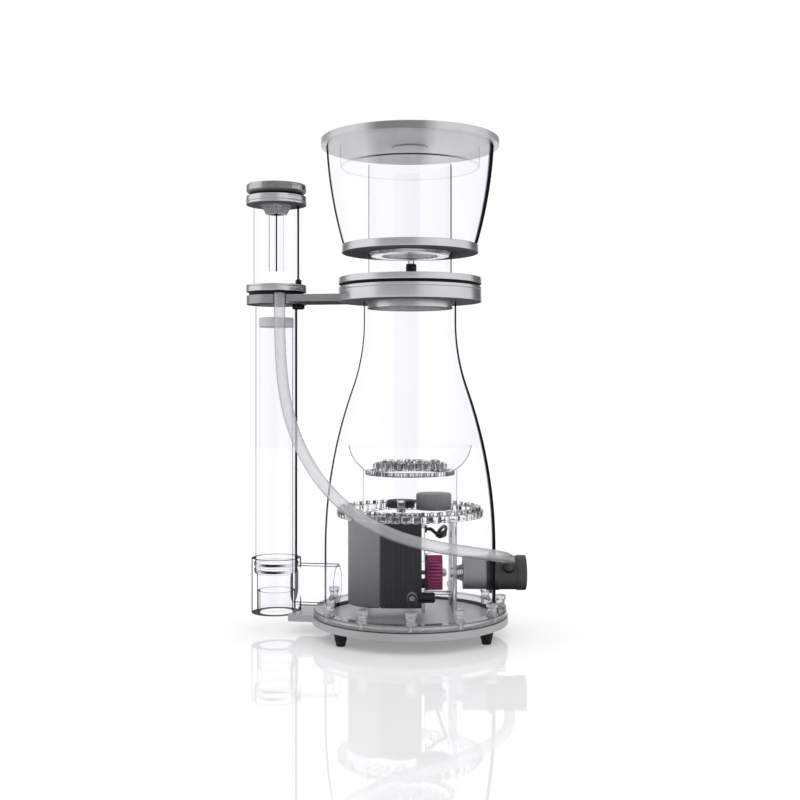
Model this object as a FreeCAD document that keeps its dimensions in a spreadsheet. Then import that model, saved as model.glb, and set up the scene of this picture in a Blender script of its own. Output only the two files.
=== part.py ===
import FreeCAD, Part
import Sketcher
import math
import os
import re

# A cone-bodied protein skimmer that stands in an aquarium's sump: a clear reaction body with
# a pump inside it, a collection cup on top and an outlet tower with the air silencer at its side.
# Millimetres. The origin is on the floor under the middle of the body, +Z is up, +X points to
# the water intake and -Y to the front, where the air hose runs.

DIMENSIONS = {
    # base
    "plate_radius": 115, "plate_low": 15, "plate_top": 23, "gasket_top": 24, "flange_top": 31,
    "foot_top_radius": 8.25, "foot_low_radius": 5, "foot_circle": 104, "foot_spread": 52, "base_turn": 3.4,
    "foot_bolt_radius": 2, "foot_bolt_head": 3.4, "foot_recess": 3, "foot_bolt_top": 21,
    "screw_circle": 106.5, "screw_shaft": 3, "screw_neck": 4, "screw_head": 5.8,
    "screw_head_low": 38, "screw_top": 45, "screw_low": 17, "screw_step": 30,
    "fit_gap": 0.1, "glue_gap": 0.05,
    # body shell
    "body_radius": 100.4, "body_neck": 54.4, "body_wall": 4, "shoulder_start": 100,
    "shoulder_arc": 560, "neck_arc": 232, "body_top": 404,
    "collar_radius": 84, "collar_low": 389, "collar_top": 406.4, "seal_radius": 80,
    "seal_top": 409.7, "cup_collar_top": 417.2, "seal_inner": 60,
    # collection cup
    "neck_radius": 49, "neck_wall": 3, "neck_low": 388.5, "neck_top": 550, "spigot_radius": 50.1,
    "spigot_inner": 44, "spigot_low": 381.5, "cup_ring_radius": 80.3, "cup_ring_low": 446.5,
    "cup_ring_top": 455.7, "cup_foot_radius": 78.6, "cup_rim_radius": 98.4, "cup_rim": 571,
    "cup_wall_thick": 3, "cup_arc": 500, "ring_bore": 33, "neck_ring_radius": 45.9,
    "neck_ring_low": 443, "neck_ring_top": 455, "lid_radius": 104.8, "lid_top": 580,
    "lid_boss_radius": 22, "lid_boss_low": 569.5, "skirt_radius": 82, "skirt_wall": 2.5,
    "skirt_low": 547, "drain_x": 2, "drain_y": 65, "nipple_radius": 4, "nipple_bore": 2.5,
    "nipple_low": 433, "drain_cap_radius": 6.5, "drain_cap_low": 431, "drain_cap_top": 441,
    # outlet tower
    "tower_reach": 162, "tower_turn": 171.1, "socket_radius": 29.6, "socket_low": 20, "socket_top": 85,
    "socket_bore": 25.2, "socket_floor": 24, "pipe_bore": 23, "seal_low": 69,
    "seal_high": 77, "seal_width": 3, "pipe_radius": 25, "pipe_wall": 3, "pipe_height": 54,
    "pipe_inner_end": 87, "riser_low": 67, "riser_top": 397.2, "seal_thick": 1.2,
    "stand_radius": 20, "stand_wall": 2.5, "stand_low": 22, "stand_top": 361, "weir_top": 372,
    "bush_gap": 0.08, "bush_outer": 22.2, "bush_top": 46, "arm_width": 60, "arm_low": 389.5, "arm_top": 398,
    "clamp_radius": 35.4, "clamp_low": 387.7, "clamp_top": 398, "lower_arm_end": 140,
    # air silencer
    "silencer_low": 402.6, "silencer_deck": 411, "silencer_radius": 36, "can_radius": 27.2, "can_wall": 2.5,
    "can_top": 507, "silencer_top": 517, "knob_low": 519.5, "knob_top": 531, "knob_radius": 35.7,
    "knob_bore": 4.6, "pin_radius": 4.15, "pin_low": 495, "pin_top": 515, "pin_rod": 0.9, "rod_low": 428,
    "seat_top_radius": 18, "seat_low_radius": 12.5, "seat_low": 496, "air_tube_radius": 9,
    "air_tube_wall": 1.4, "gasket_radius": 32.5, "bolt_reach": 33, "bolt_turn": -32, "bolt_radius": 2,
    "thumb_radius": 7.3, "thumb_low": 381.3, "bolt_top": 417, "bolt_nut_radius": 3.6, "barb_reach": 33.3,
    "barb_turn": -77.7, "barb_radius": 6.5, "barb_low": 399.5,
    # pump
    "shaft_height": 71, "motor_split": -34, "motor_right": 13, "motor_depth": 39,
    "motor_low": 36, "motor_top": 136, "bore_radius": 13.2, "bore_left": -30, "backplate_right": 17,
    "wheel_left": 18, "wheel_web": 23, "wheel_right": 38, "wheel_radius": 21.25, "hub_radius": 6,
    "pin_circle_outer": 18.6, "pin_circle_inner": 13.2, "needle_radius": 1.3, "chamber_radius": 22.6,
    "volute_radius": 26, "volute_right": 48, "front_plate_right": 52, "plate_half": 41,
    "plate_foot": 31, "front_plate_top": 128, "magnet_radius": 12, "magnet_left": -26, "magnet_right": 10,
    "axle_radius": 2.5, "axle_left": -29.5, "axle_right": 43, "nut_radius": 5, "nozzle_tip": 46.5,
    "nozzle_right": 62, "nozzle_radius": 10, "nozzle_tip_radius": 5.5, "nozzle_bore": 4,
    "inlet_radius": 19.6, "inlet_bore": 15.5, "intake_left": 89, "intake_right": 136, "intake_radius": 20.5,
    "intake_bore": 16.5, "wall_seal_radius": 24, "side_port": 114.6, "side_port_lift": 27,
    "side_port_end": 24, "mount_z": 50, "mount_radius": 6, "mount_left": -4, "mount_right": 28,
    # bubble plate and diffuser
    "bubble_radius": 86, "bubble_low": 138, "bubble_top": 145.5, "tooth_radius": 2.6, "post_x": 50,
    "post_y": 62, "post_radius": 3.6, "chamber_tube_radius": 55.5, "chamber_tube_wall": 2.5,
    "chamber_tube_top": 192, "dish_rim_radius": 72.5, "dish_rim": 221, "dish_low_radius": 54,
    "dish_wall": 2, "dish_arc": 42, "diffuser_radius": 44, "diffuser_low": 194.2, "diffuser_top": 200,
    "cap_x": 28, "cap_radius": 20.8, "cap_top": 164.5, "low_cap_x": -11, "low_cap_y": 24,
    "low_cap_radius": 17, "low_cap_top": 154, "sleeve_x": -10.5, "sleeve_y": -32, "sleeve_radius": 5.2,
    "sleeve_top": 160,
    # air hose and pump lead
    "hose_diameter": 13, "lead_diameter": 4, "gland_radius": 4.5,
}

TOOTH_COUNT = 44
NEEDLE_COUNT = 18
# The thumbscrews' places round the base; the outlet pipe passes over one, which stays empty.
SCREW_COUNT = 12
SCREW_LEFT_OUT = 9

# The air hose from the silencer's barb, down in front of the body and round to the side port.
HOSE_ROUTE = [
    (-152.9, -7.5, 399.5), (-152.9, -7.5, 372), (-151.5, -15, 340), (-148.5, -27, 307), (-142.5, -44, 274),
    (-132.5, -64, 243), (-118, -85, 214), (-99, -103, 187), (-75, -116, 163), (-48, -123.5, 144.5),
    (-18, -126, 130.5), (13, -123.5, 121), (43, -116, 114.5), (69, -103, 109), (91, -84, 103.5),
    (107, -62, 98), (114.6, -41, 91.9), (114.6, -21.38, 81.9),
]

# The pump's lead from the gland on the motor, over the volute to the gland in the back wall.
LEAD_ROUTE = [
    (19, -30, 126), (24, -30, 126), (30, -28, 120), (37, -23, 118.5), (41.5, -11, 121), (42.5, 5, 123.5),
    (41, 24, 123), (37.5, 43, 117), (34, 60, 109.5), (34, 76.5, 104), (37.9, 85.1, 104),
]

doc = FreeCAD.newDocument("protein_skimmer")
sizes = doc.addObject("Spreadsheet::Sheet", "sizes")
for row, (alias, size) in enumerate(DIMENSIONS.items(), start=1):
    sizes.set(f"A{row}", alias)
    sizes.set(f"B{row}", str(size))
    sizes.setAlias(f"B{row}", alias)
doc.recompute()

nodes = []


def in_sheet(formula):
    """Point every size's name in a formula at its cell in the sheet."""
    def cell(word):
        return "sizes." + word[0] if word[0] in DIMENSIONS else word[0]
    return re.sub(r"[a-z_]\w*", cell, str(formula))


def size_of(formula):
    """Work out a formula of sizes as a number."""
    return float(sizes.evalExpression(in_sheet(formula)))


def bind(item, prop, formula):
    """Tie one property of an object to a formula of sizes."""
    item.setExpression(prop, in_sheet(formula))


def place(item, x=0, y=0, z=0, turn=None):
    """Put an object at a place given by formulas, turned as asked."""
    item.Placement = FreeCAD.Placement(FreeCAD.Vector(0, 0, 0), turn or FreeCAD.Rotation())
    for axis, formula in zip("xyz", (x, y, z)):
        bind(item, f".Placement.Base.{axis}", formula)


def keep(item, label):
    """Name an object as a finished piece, whose file carries that name."""
    item.Label = label
    nodes.append(item)
    return item


ALONG_X = FreeCAD.Rotation(FreeCAD.Vector(0, 1, 0), 90)
TOWER = {"x": "tower_reach * cos(tower_turn)", "y": "tower_reach * sin(tower_turn)"}


def around_tower(reach, turn):
    """Give the place at a reach and angle from the tower's axis."""
    return {"x": f"{TOWER['x']} + {reach} * cos({turn})", "y": f"{TOWER['y']} + {reach} * sin({turn})"}


def arc_between(start, end, radius):
    """Make a sketch arc; a positive radius bends to the left of its travel."""
    chord = end - start
    half = chord.Length / 2
    left = FreeCAD.Vector(-chord.y, chord.x, 0).normalize()
    height = math.sqrt(radius ** 2 - half ** 2) * math.copysign(1, radius)
    centre = (start + end) * 0.5 + left * height
    first, last = (start, end) if radius > 0 else (end, start)
    from_angle = math.atan2(first.y - centre.y, first.x - centre.x)
    to_angle = math.atan2(last.y - centre.y, last.x - centre.x)
    return Part.ArcOfCircle(Part.Circle(centre, FreeCAD.Vector(0, 0, 1), abs(radius)), from_angle, to_angle)


def origin_plane(body, role):
    """Find one of a body's own origin planes."""
    return next(plane for plane in body.Origin.OriginFeatures if plane.Role == role)


def outline_sketch(body, plane, outline):
    """Draw a closed outline whose corners, and arc radii where given, are bound to the sheet."""
    sketch = body.newObject("Sketcher::SketchObject", body.Label + "_outline")
    sketch.AttachmentSupport = (origin_plane(body, plane), [""])
    sketch.MapMode = "FlatFace"
    corners = [FreeCAD.Vector(size_of(corner[0]), size_of(corner[1]), 0) for corner in outline]
    starts = []
    ends = []
    for index, corner in enumerate(outline):
        start, end = corners[index - 1], corners[index]
        if len(corner) == 3:
            radius = size_of(corner[2])
            edge = sketch.addGeometry(arc_between(start, end, radius), False)
            starts.append((edge, 1 if radius > 0 else 2))
            ends.append((edge, 2 if radius > 0 else 1))
        else:
            edge = sketch.addGeometry(Part.LineSegment(start, end), False)
            starts.append((edge, 1))
            ends.append((edge, 2))
    for index, corner in enumerate(outline):
        following = starts[(index + 1) % len(outline)]
        sketch.addConstraint(Sketcher.Constraint("Coincident", *ends[index], *following))
        pin_corner(sketch, ends[index], corner, corners[index])
        if len(corner) == 3:
            radius = abs(size_of(corner[2]))
            arc = sketch.addConstraint(Sketcher.Constraint("Radius", ends[index][0], radius))
            sketch.setExpression(f"Constraints[{arc}]", f"abs({in_sheet(corner[2])})")
    return sketch


def pin_corner(sketch, point, corner, at):
    """Fix one corner's two coordinates by formulas, or onto an axis where they are zero."""
    across = ("DistanceX", -2, at.x, corner[0])
    upward = ("DistanceY", -1, at.y, corner[1])
    for kind, axis, coordinate, formula in (across, upward):
        if abs(coordinate) < 1e-9:
            sketch.addConstraint(Sketcher.Constraint("PointOnObject", *point, axis))
            continue
        held = sketch.addConstraint(Sketcher.Constraint(kind, -1, 1, *point, coordinate))
        sketch.setExpression(f"Constraints[{held}]", in_sheet(formula))


def turned(label, outline, **where):
    """Turn an outline of (radius, height) corners about a body's vertical axis."""
    body = doc.addObject("PartDesign::Body", label)
    body.Label = label
    sketch = outline_sketch(body, "XZ_Plane", outline)
    solid = body.newObject("PartDesign::Revolution", label + "_turned")
    solid.Profile = sketch
    solid.ReferenceAxis = (sketch, ["V_Axis"])
    solid.Angle = 360
    sketch.Visibility = False
    body.Tip = solid
    place(body, **where)
    return body


def padded(label, outline, low, top, **where):
    """Raise a flat outline from one height to another."""
    body = doc.addObject("PartDesign::Body", label)
    body.Label = label
    sketch = outline_sketch(body, "XY_Plane", outline)
    solid = body.newObject("PartDesign::Pad", label + "_pad")
    solid.Profile = sketch
    bind(solid, "Length", f"{top} - {low}")
    body.Tip = solid
    where.setdefault("z", low)
    place(body, **where)
    return body


def ring(label, inner, outer, low, top, **where):
    """Turn a plain ring or, with an inner radius of 0, a disc."""
    return turned(label, [(inner, low), (outer, low), (outer, top), (inner, top)], **where)


def rod(label, radius, low, top, **where):
    """Make a cylinder between two heights."""
    cylinder = doc.addObject("Part::Cylinder", label)
    bind(cylinder, "Radius", radius)
    bind(cylinder, "Height", f"{top} - ({low})")
    where.setdefault("z", low)
    place(cylinder, **where)
    return cylinder


def rod_along_x(label, radius, left, right, **where):
    """Make a cylinder along X at the height of the pump's shaft, unless placed elsewhere."""
    where.setdefault("z", "shaft_height")
    return rod(label, radius, left, right, x=left, turn=ALONG_X, **where)


def pipe_rod(label, radius, start, end):
    """Make a cylinder along the outlet pipe's axis, between two distances from the body's middle."""
    cylinder = doc.addObject("Part::Cylinder", label)
    bind(cylinder, "Radius", radius)
    bind(cylinder, "Height", f"{end} - ({start})")
    heading = FreeCAD.Rotation(FreeCAD.Vector(0, 0, 1), size_of("tower_turn")) * ALONG_X
    place(cylinder, x=f"({start}) * cos(tower_turn)", y=f"({start}) * sin(tower_turn)", z="pipe_height",
          turn=heading)
    return cylinder


def box(label, x, y, z):
    """Make a block from three (low, high) pairs of formulas."""
    block = doc.addObject("Part::Box", label)
    for prop, (low, high) in zip(("Length", "Width", "Height"), (x, y, z)):
        bind(block, prop, f"{high} - ({low})")
    place(block, x=x[0], y=y[0], z=z[0])
    return block


def joined(label, pieces):
    """Fuse several shapes into one."""
    fuse = doc.addObject("Part::MultiFuse", label)
    fuse.Shapes = pieces
    return fuse


def cut(label, base, tools):
    """Take tools away from a base shape."""
    result = doc.addObject("Part::Cut", label)
    result.Base = base
    result.Tool = tools[0] if len(tools) == 1 else joined(label + "_tools", tools)
    return result


def group(label, pieces):
    """Hold separate solids of one kind together."""
    compound = doc.addObject("Part::Compound", label)
    compound.Links = pieces
    return compound


def around(count, step, first=0):
    """Give the angles of pieces set round a circle."""
    return [first + index * step for index in range(count)]


def build_base():
    """Feet, plate with its outlet arm, gasket, flange and the thumbscrews."""
    corners = ["-90 - foot_spread", "-90 + foot_spread", "90 - foot_spread", "90 + foot_spread"]
    spots = [
        {"x": f"foot_circle * cos({turn} + base_turn)", "y": f"foot_circle * sin({turn} + base_turn)"}
        for turn in corners
    ]
    feet = [
        turned("foot", [
            ("foot_bolt_head + fit_gap", 0), ("foot_low_radius", 0), ("foot_top_radius", "plate_low"),
            ("foot_bolt_radius + fit_gap", "plate_low"), ("foot_bolt_radius + fit_gap", "foot_recess"),
            ("foot_bolt_head + fit_gap", "foot_recess")], **spot)
        for spot in spots
    ]
    keep(group("rubber_feet", feet), "rubber_feet")
    bolts = [
        turned("foot_bolt", [
            (0, 1), ("foot_bolt_head", 1), ("foot_bolt_head", "foot_recess"),
            ("foot_bolt_radius", "foot_recess"), ("foot_bolt_radius", "foot_bolt_top"),
            (0, "foot_bolt_top")], **spot)
        for spot in spots
    ]
    keep(group("foot_screws", bolts), "foot_screws")

    angles = [f"-90 + {turn} * screw_step" for turn in range(SCREW_COUNT) if turn != SCREW_LEFT_OUT]
    rims = [{"x": f"screw_circle * cos({turn})", "y": f"screw_circle * sin({turn})"} for turn in angles]
    disc = rod("plate_disc", "plate_radius", "plate_low", "plate_top")
    arm = padded("lower_arm", [
        ("plate_radius - arm_width / 4", "-arm_width / 2"), ("lower_arm_end", "-arm_width / 2"),
        ("lower_arm_end", "arm_width / 2"), ("plate_radius - arm_width / 4", "arm_width / 2")],
        "plate_low", "plate_top", turn=FreeCAD.Rotation(FreeCAD.Vector(0, 0, 1), size_of("tower_turn")))
    cradle = rod("arm_cradle", "socket_radius + fit_gap", "socket_low", "plate_top + 1", **TOWER)
    mouth = rod("arm_mouth", "stand_radius", "plate_low - 1", "plate_top + 1", **TOWER)
    plate_holes = [rod("plate_hole", "screw_shaft + fit_gap", "screw_low - 1", "plate_top + 1", **rim)
                   for rim in rims]
    bolt_holes = [
        rod("bolt_hole", "foot_bolt_radius + fit_gap", "plate_low - 1", "foot_bolt_top + 1", **spot)
        for spot in spots
    ]
    whole = joined("plate_and_arm", [disc, arm])
    keep(cut("base_plate", whole, [cradle, mouth] + plate_holes + bolt_holes), "base_plate")

    gasket = ring("gasket_ring", "body_radius - body_wall", "plate_radius - 2", "plate_top", "gasket_top")
    gasket_holes = [rod("gasket_hole", "screw_shaft + fit_gap", "plate_top - 1", "gasket_top + 1", **rim)
                    for rim in rims]
    keep(cut("base_gasket", gasket, gasket_holes), "base_gasket")
    flange = turned("flange_ring", [
        ("body_radius + glue_gap", "gasket_top"), ("plate_radius - 1.5", "gasket_top"),
        ("plate_radius - 1.5", "flange_top - 1.5"), ("plate_radius - 3", "flange_top"),
        ("body_radius + glue_gap", "flange_top")])
    flange_holes = [rod("flange_hole", "screw_shaft + fit_gap", "gasket_top - 1", "flange_top + 1", **rim)
                    for rim in rims]
    pipe_way = pipe_rod("flange_pipe_way", "pipe_radius + glue_gap", "body_radius - 10", "plate_radius")
    keep(cut("base_flange", flange, flange_holes + [pipe_way]), "base_flange")
    screws = [
        turned("screw", [
            (0, "screw_low"), ("screw_shaft", "screw_low"), ("screw_shaft", "flange_top"),
            ("screw_neck", "flange_top"), ("screw_neck", "screw_head_low"),
            ("screw_head", "screw_head_low + 1"),
            ("screw_head", "screw_top - 1"), ("screw_head - 1", "screw_top"), (0, "screw_top")], **rim)
        for rim in rims
    ]
    keep(group("base_thumbscrews", screws), "base_thumbscrews")


def shell_profile(inset):
    """Give the body's four bends from foot to top, moved inwards by an inset."""
    sweep = "(shoulder_arc + neck_arc)"
    drop = "(body_radius - body_neck)"
    rise = f"sqrt({sweep}^2 - ({sweep} - {drop})^2)"
    waist_r = f"body_radius - shoulder_arc + (shoulder_arc - {inset}) * ({sweep} - {drop}) / {sweep}"
    waist_z = f"shoulder_start + (shoulder_arc - {inset}) * {rise} / {sweep}"
    return {
        "foot": (f"body_radius - {inset}", "gasket_top"),
        "shoulder": (f"body_radius - {inset}", "shoulder_start"),
        "waist": (waist_r, waist_z),
        "neck": (f"body_neck - {inset}", f"shoulder_start + {rise}"),
        "top": (f"body_neck - {inset}", "body_top"),
    }


def lead_heading():
    """Turn a cylinder's axis to the outward direction of the pump lead's last run."""
    last, end = (FreeCAD.Vector(*point) for point in LEAD_ROUTE[-2:])
    return FreeCAD.Rotation(FreeCAD.Vector(0, 0, 1), FreeCAD.Vector(end.x - last.x, end.y - last.y, 0))


def build_body():
    """Clear reaction body with its collar, and the seal between body and cup."""
    outer = shell_profile("0")
    inner = shell_profile("body_wall")
    shell = turned("shell", [
        outer["foot"], outer["shoulder"], (*outer["waist"], "shoulder_arc"), (*outer["neck"], "-neck_arc"),
        outer["top"], inner["top"], inner["neck"], (*inner["waist"], "neck_arc + body_wall"),
        (*inner["shoulder"], "body_wall - shoulder_arc"), inner["foot"]])
    end = LEAD_ROUTE[-1]
    tools = [
        pipe_rod("outlet_cut", "pipe_radius + glue_gap", "pipe_inner_end - 10", "body_radius + 10"),
        rod_along_x("intake_cut", "intake_radius + glue_gap", "intake_left - 10", "body_radius + 10"),
        rod("lead_cut", "gland_radius + glue_gap", 0, 20, x=end[0], y=end[1], z=end[2], turn=lead_heading()),
    ]
    keep(cut("body_shell", shell, tools), "body_shell")
    keep(ring("body_collar", "body_neck + glue_gap", "collar_radius", "collar_low", "collar_top"),
         "body_collar")
    keep(ring("collar_seal", "seal_inner", "seal_radius", "collar_top", "seal_top"), "collar_seal")


def build_cup():
    """Collection cup: neck tube, rings, wall, drain nipple and cap, and the lid with its skirt."""
    bore = "neck_radius + glue_gap"
    keep(ring("neck_tube", "neck_radius - neck_wall", "neck_radius", "neck_low", "neck_top"), "neck_tube")
    keep(turned("spigot_ring", [
        ("spigot_inner", "spigot_low"), ("spigot_radius", "spigot_low"), ("spigot_radius", "neck_low"),
        ("spigot_inner", "neck_low")]), "spigot_ring")
    keep(ring("cup_collar", bore, "collar_radius", "seal_top", "cup_collar_top"), "cup_collar")
    floor = ring("floor_ring", bore, "cup_ring_radius", "cup_ring_low", "cup_ring_top")
    drain = {"x": "drain_x", "y": "drain_y"}
    nipple_hole = rod("nipple_hole", "nipple_radius + glue_gap", "cup_ring_low - 1", "cup_ring_top + 1",
                      **drain)
    keep(cut("cup_floor_ring", floor, [nipple_hole]), "cup_floor_ring")
    wall = [
        ("cup_foot_radius", "cup_ring_top"), ("cup_rim_radius", "cup_rim", "cup_arc"),
        ("cup_rim_radius - cup_wall_thick", "cup_rim"),
        ("cup_foot_radius - cup_wall_thick", "cup_ring_top", "-cup_arc"),
    ]
    keep(turned("cup_wall", wall), "cup_wall")
    keep(ring("neck_ring", "ring_bore", "neck_ring_radius", "neck_ring_low", "neck_ring_top"), "neck_ring")
    keep(ring("drain_nipple", "nipple_bore", "nipple_radius", "nipple_low", "cup_ring_top", **drain),
         "drain_nipple")
    keep(turned("drain_cap", [
        (0, "drain_cap_low"), ("drain_cap_radius - 1", "drain_cap_low"),
        ("drain_cap_radius", "drain_cap_low + 1"),
        ("drain_cap_radius", "drain_cap_top"), ("nipple_radius + fit_gap / 2", "drain_cap_top"),
        ("nipple_radius + fit_gap / 2", "nipple_low"), (0, "nipple_low")], **drain), "drain_cap")
    keep(turned("cup_lid", [
        (0, "lid_boss_low"), ("lid_boss_radius", "lid_boss_low"), ("lid_boss_radius", "cup_rim"),
        ("lid_radius", "cup_rim"), ("lid_radius", "lid_top - 1"), ("lid_radius - 1", "lid_top"),
        (0, "lid_top")]), "cup_lid")
    keep(ring("lid_skirt", "skirt_radius - skirt_wall", "skirt_radius", "skirt_low", "cup_rim"),
         "lid_skirt")


def build_tower():
    """Outlet pipe, socket, riser, sliding standpipe and the arm that holds the tower's top."""
    pipe = cut("pipe_tube", pipe_rod("pipe_outside", "pipe_radius", "pipe_inner_end", "tower_reach"), [
        pipe_rod("pipe_inside", "pipe_radius - pipe_wall", "pipe_inner_end - 1", "tower_reach + 1"),
        rod("pipe_saddle", "socket_radius", 0, "socket_top + 1", **TOWER)])
    keep(pipe, "outlet_pipe")
    socket = turned("socket_tube", [
        ("stand_radius + bush_gap", "socket_low"), ("socket_radius", "socket_low"),
        ("socket_radius", "socket_top"),
        ("socket_bore", "socket_top"), ("socket_bore", "seal_high + seal_width"),
        ("socket_bore + seal_thick", "seal_high + seal_width"), ("socket_bore + seal_thick", "seal_high"),
        ("socket_bore", "seal_high"), ("socket_bore", "seal_low + seal_width"),
        ("socket_bore + seal_thick", "seal_low + seal_width"), ("socket_bore + seal_thick", "seal_low"),
        ("socket_bore", "seal_low"), ("socket_bore", "riser_low"), ("pipe_bore", "riser_low"),
        ("pipe_bore", "socket_floor"), ("bush_outer", "socket_floor"), ("bush_outer", "bush_top"),
        ("stand_radius + bush_gap", "bush_top")], **TOWER)
    side = pipe_rod("socket_port", "pipe_radius - pipe_wall", "tower_reach - socket_radius - 4",
                    "tower_reach - bush_outer")
    keep(cut("outlet_socket", socket, [side]), "outlet_socket")
    seals = [
        ring("riser_seal", "pipe_radius + 0.02", "socket_bore + seal_thick", level, f"{level} + seal_width",
             **TOWER)
        for level in ("seal_low", "seal_high")
    ]
    keep(group("riser_seals", seals), "riser_seals")
    keep(ring("riser_tube", "pipe_radius - pipe_wall", "pipe_radius", "riser_low", "riser_top", **TOWER),
         "riser_tube")
    keep(ring("standpipe", "stand_radius - stand_wall", "stand_radius", "stand_low", "stand_top", **TOWER),
         "standpipe")
    keep(ring("standpipe_ring", "stand_radius - stand_wall", "stand_radius + 0.6", "stand_top", "weir_top",
              **TOWER), "standpipe_ring")

    heading = FreeCAD.Rotation(FreeCAD.Vector(0, 0, 1), size_of("tower_turn"))
    arm = padded("arm_plate", [
        ("collar_radius - 8", "-arm_width / 2"), ("tower_reach", "-arm_width / 2"),
        ("tower_reach", "arm_width / 2"), ("collar_radius - 8", "arm_width / 2")],
        "arm_low", "arm_top", turn=heading)
    clamp = rod("clamp_ring", "clamp_radius", "clamp_low", "clamp_top", **TOWER)
    above = "silencer_deck"
    bolt = around_tower("bolt_reach", "bolt_turn")
    barb = around_tower("barb_reach", "barb_turn")
    tools = [
        rod("collar_cut", "collar_radius + 0.02", "collar_low - 5", above),
        rod("riser_hole", "pipe_radius + glue_gap", "clamp_low - 1", above, **TOWER),
        rod("bolt_way", "bolt_radius + fit_gap", "clamp_low - 1", above, **bolt),
        rod("hose_way", "barb_radius + 1", "clamp_low - 1", above, **barb),
    ]
    keep(cut("support_arm", joined("arm_and_clamp", [arm, clamp]), tools), "support_arm")
    keep(turned("clamp_screw", [
        (0, "thumb_low"), ("thumb_radius - 1", "thumb_low"), ("thumb_radius", "thumb_low + 1.5"),
        ("thumb_radius", "clamp_low - 0.3"), ("bolt_radius", "clamp_low - 0.3"), ("bolt_radius", "bolt_top"),
        (0, "bolt_top")], **bolt), "clamp_screw")


def build_silencer():
    """Air silencer on the tower: gasket, deck, can, top, knob, valve needle, air tube and hose barb."""
    bolt = around_tower("bolt_reach", "bolt_turn")
    barb = around_tower("barb_reach", "barb_turn")
    gasket = ring("gasket_disc", "pipe_radius + glue_gap", "gasket_radius", "clamp_top", "silencer_low",
                  **TOWER)
    keep(cut("silencer_gasket", gasket, [
        rod("gasket_bolt_way", "bolt_radius + fit_gap", "clamp_low", "silencer_deck", **bolt),
        rod("gasket_barb_way", "barb_radius + 0.3", "clamp_low", "silencer_deck", **barb)]),
        "silencer_gasket")
    deck = turned("deck_disc", [
        ("pipe_radius - pipe_wall", "silencer_low"), ("silencer_radius - 1", "silencer_low"),
        ("silencer_radius", "silencer_low + 1"), ("silencer_radius", "silencer_deck"),
        ("pipe_radius - pipe_wall", "silencer_deck")], **TOWER)
    keep(cut("silencer_base", deck, [
        rod("deck_bolt_way", "bolt_radius + fit_gap", "silencer_low - 1", "silencer_deck + 1", **bolt)]),
        "silencer_base")
    keep(ring("bolt_nut", "bolt_radius + fit_gap / 2", "bolt_nut_radius", "silencer_deck", "bolt_top - 1",
              **bolt), "bolt_nut")
    keep(ring("silencer_can", "can_radius - can_wall", "can_radius", "silencer_deck", "can_top", **TOWER),
         "silencer_can")
    keep(ring("silencer_top", "pin_radius + 0.6", "silencer_radius", "can_top", "silencer_top", **TOWER),
         "silencer_top_ring")
    tube_bore = "air_tube_radius - air_tube_wall"
    keep(turned("air_tube", [
        (tube_bore, "rod_low"), ("air_tube_radius", "rod_low"), ("air_tube_radius", "seat_low"),
        ("seat_low_radius", "seat_low"), ("seat_top_radius", "can_top"), (tube_bore, "can_top")], **TOWER),
        "air_tube")
    keep(turned("air_knob", [
        ("knob_bore", "knob_low"), ("knob_radius - 3", "knob_low"), ("knob_radius", "knob_low + 3"),
        ("knob_radius", "knob_top - 1"), ("knob_radius - 1", "knob_top"), (0, "knob_top"),
        (0, "knob_top - 3"), ("knob_bore", "knob_top - 3")], **TOWER), "air_knob")
    keep(turned("air_needle", [
        (0, "rod_low"), ("pin_rod", "rod_low"), ("pin_rod", "pin_low"), ("pin_radius", "pin_low + 2"),
        ("pin_radius", "pin_top + 2"), (0, "pin_top + 2")], **TOWER), "air_needle")
    keep(rod("hose_barb", "barb_radius", "barb_low", "silencer_low", **barb), "hose_barb")


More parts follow.
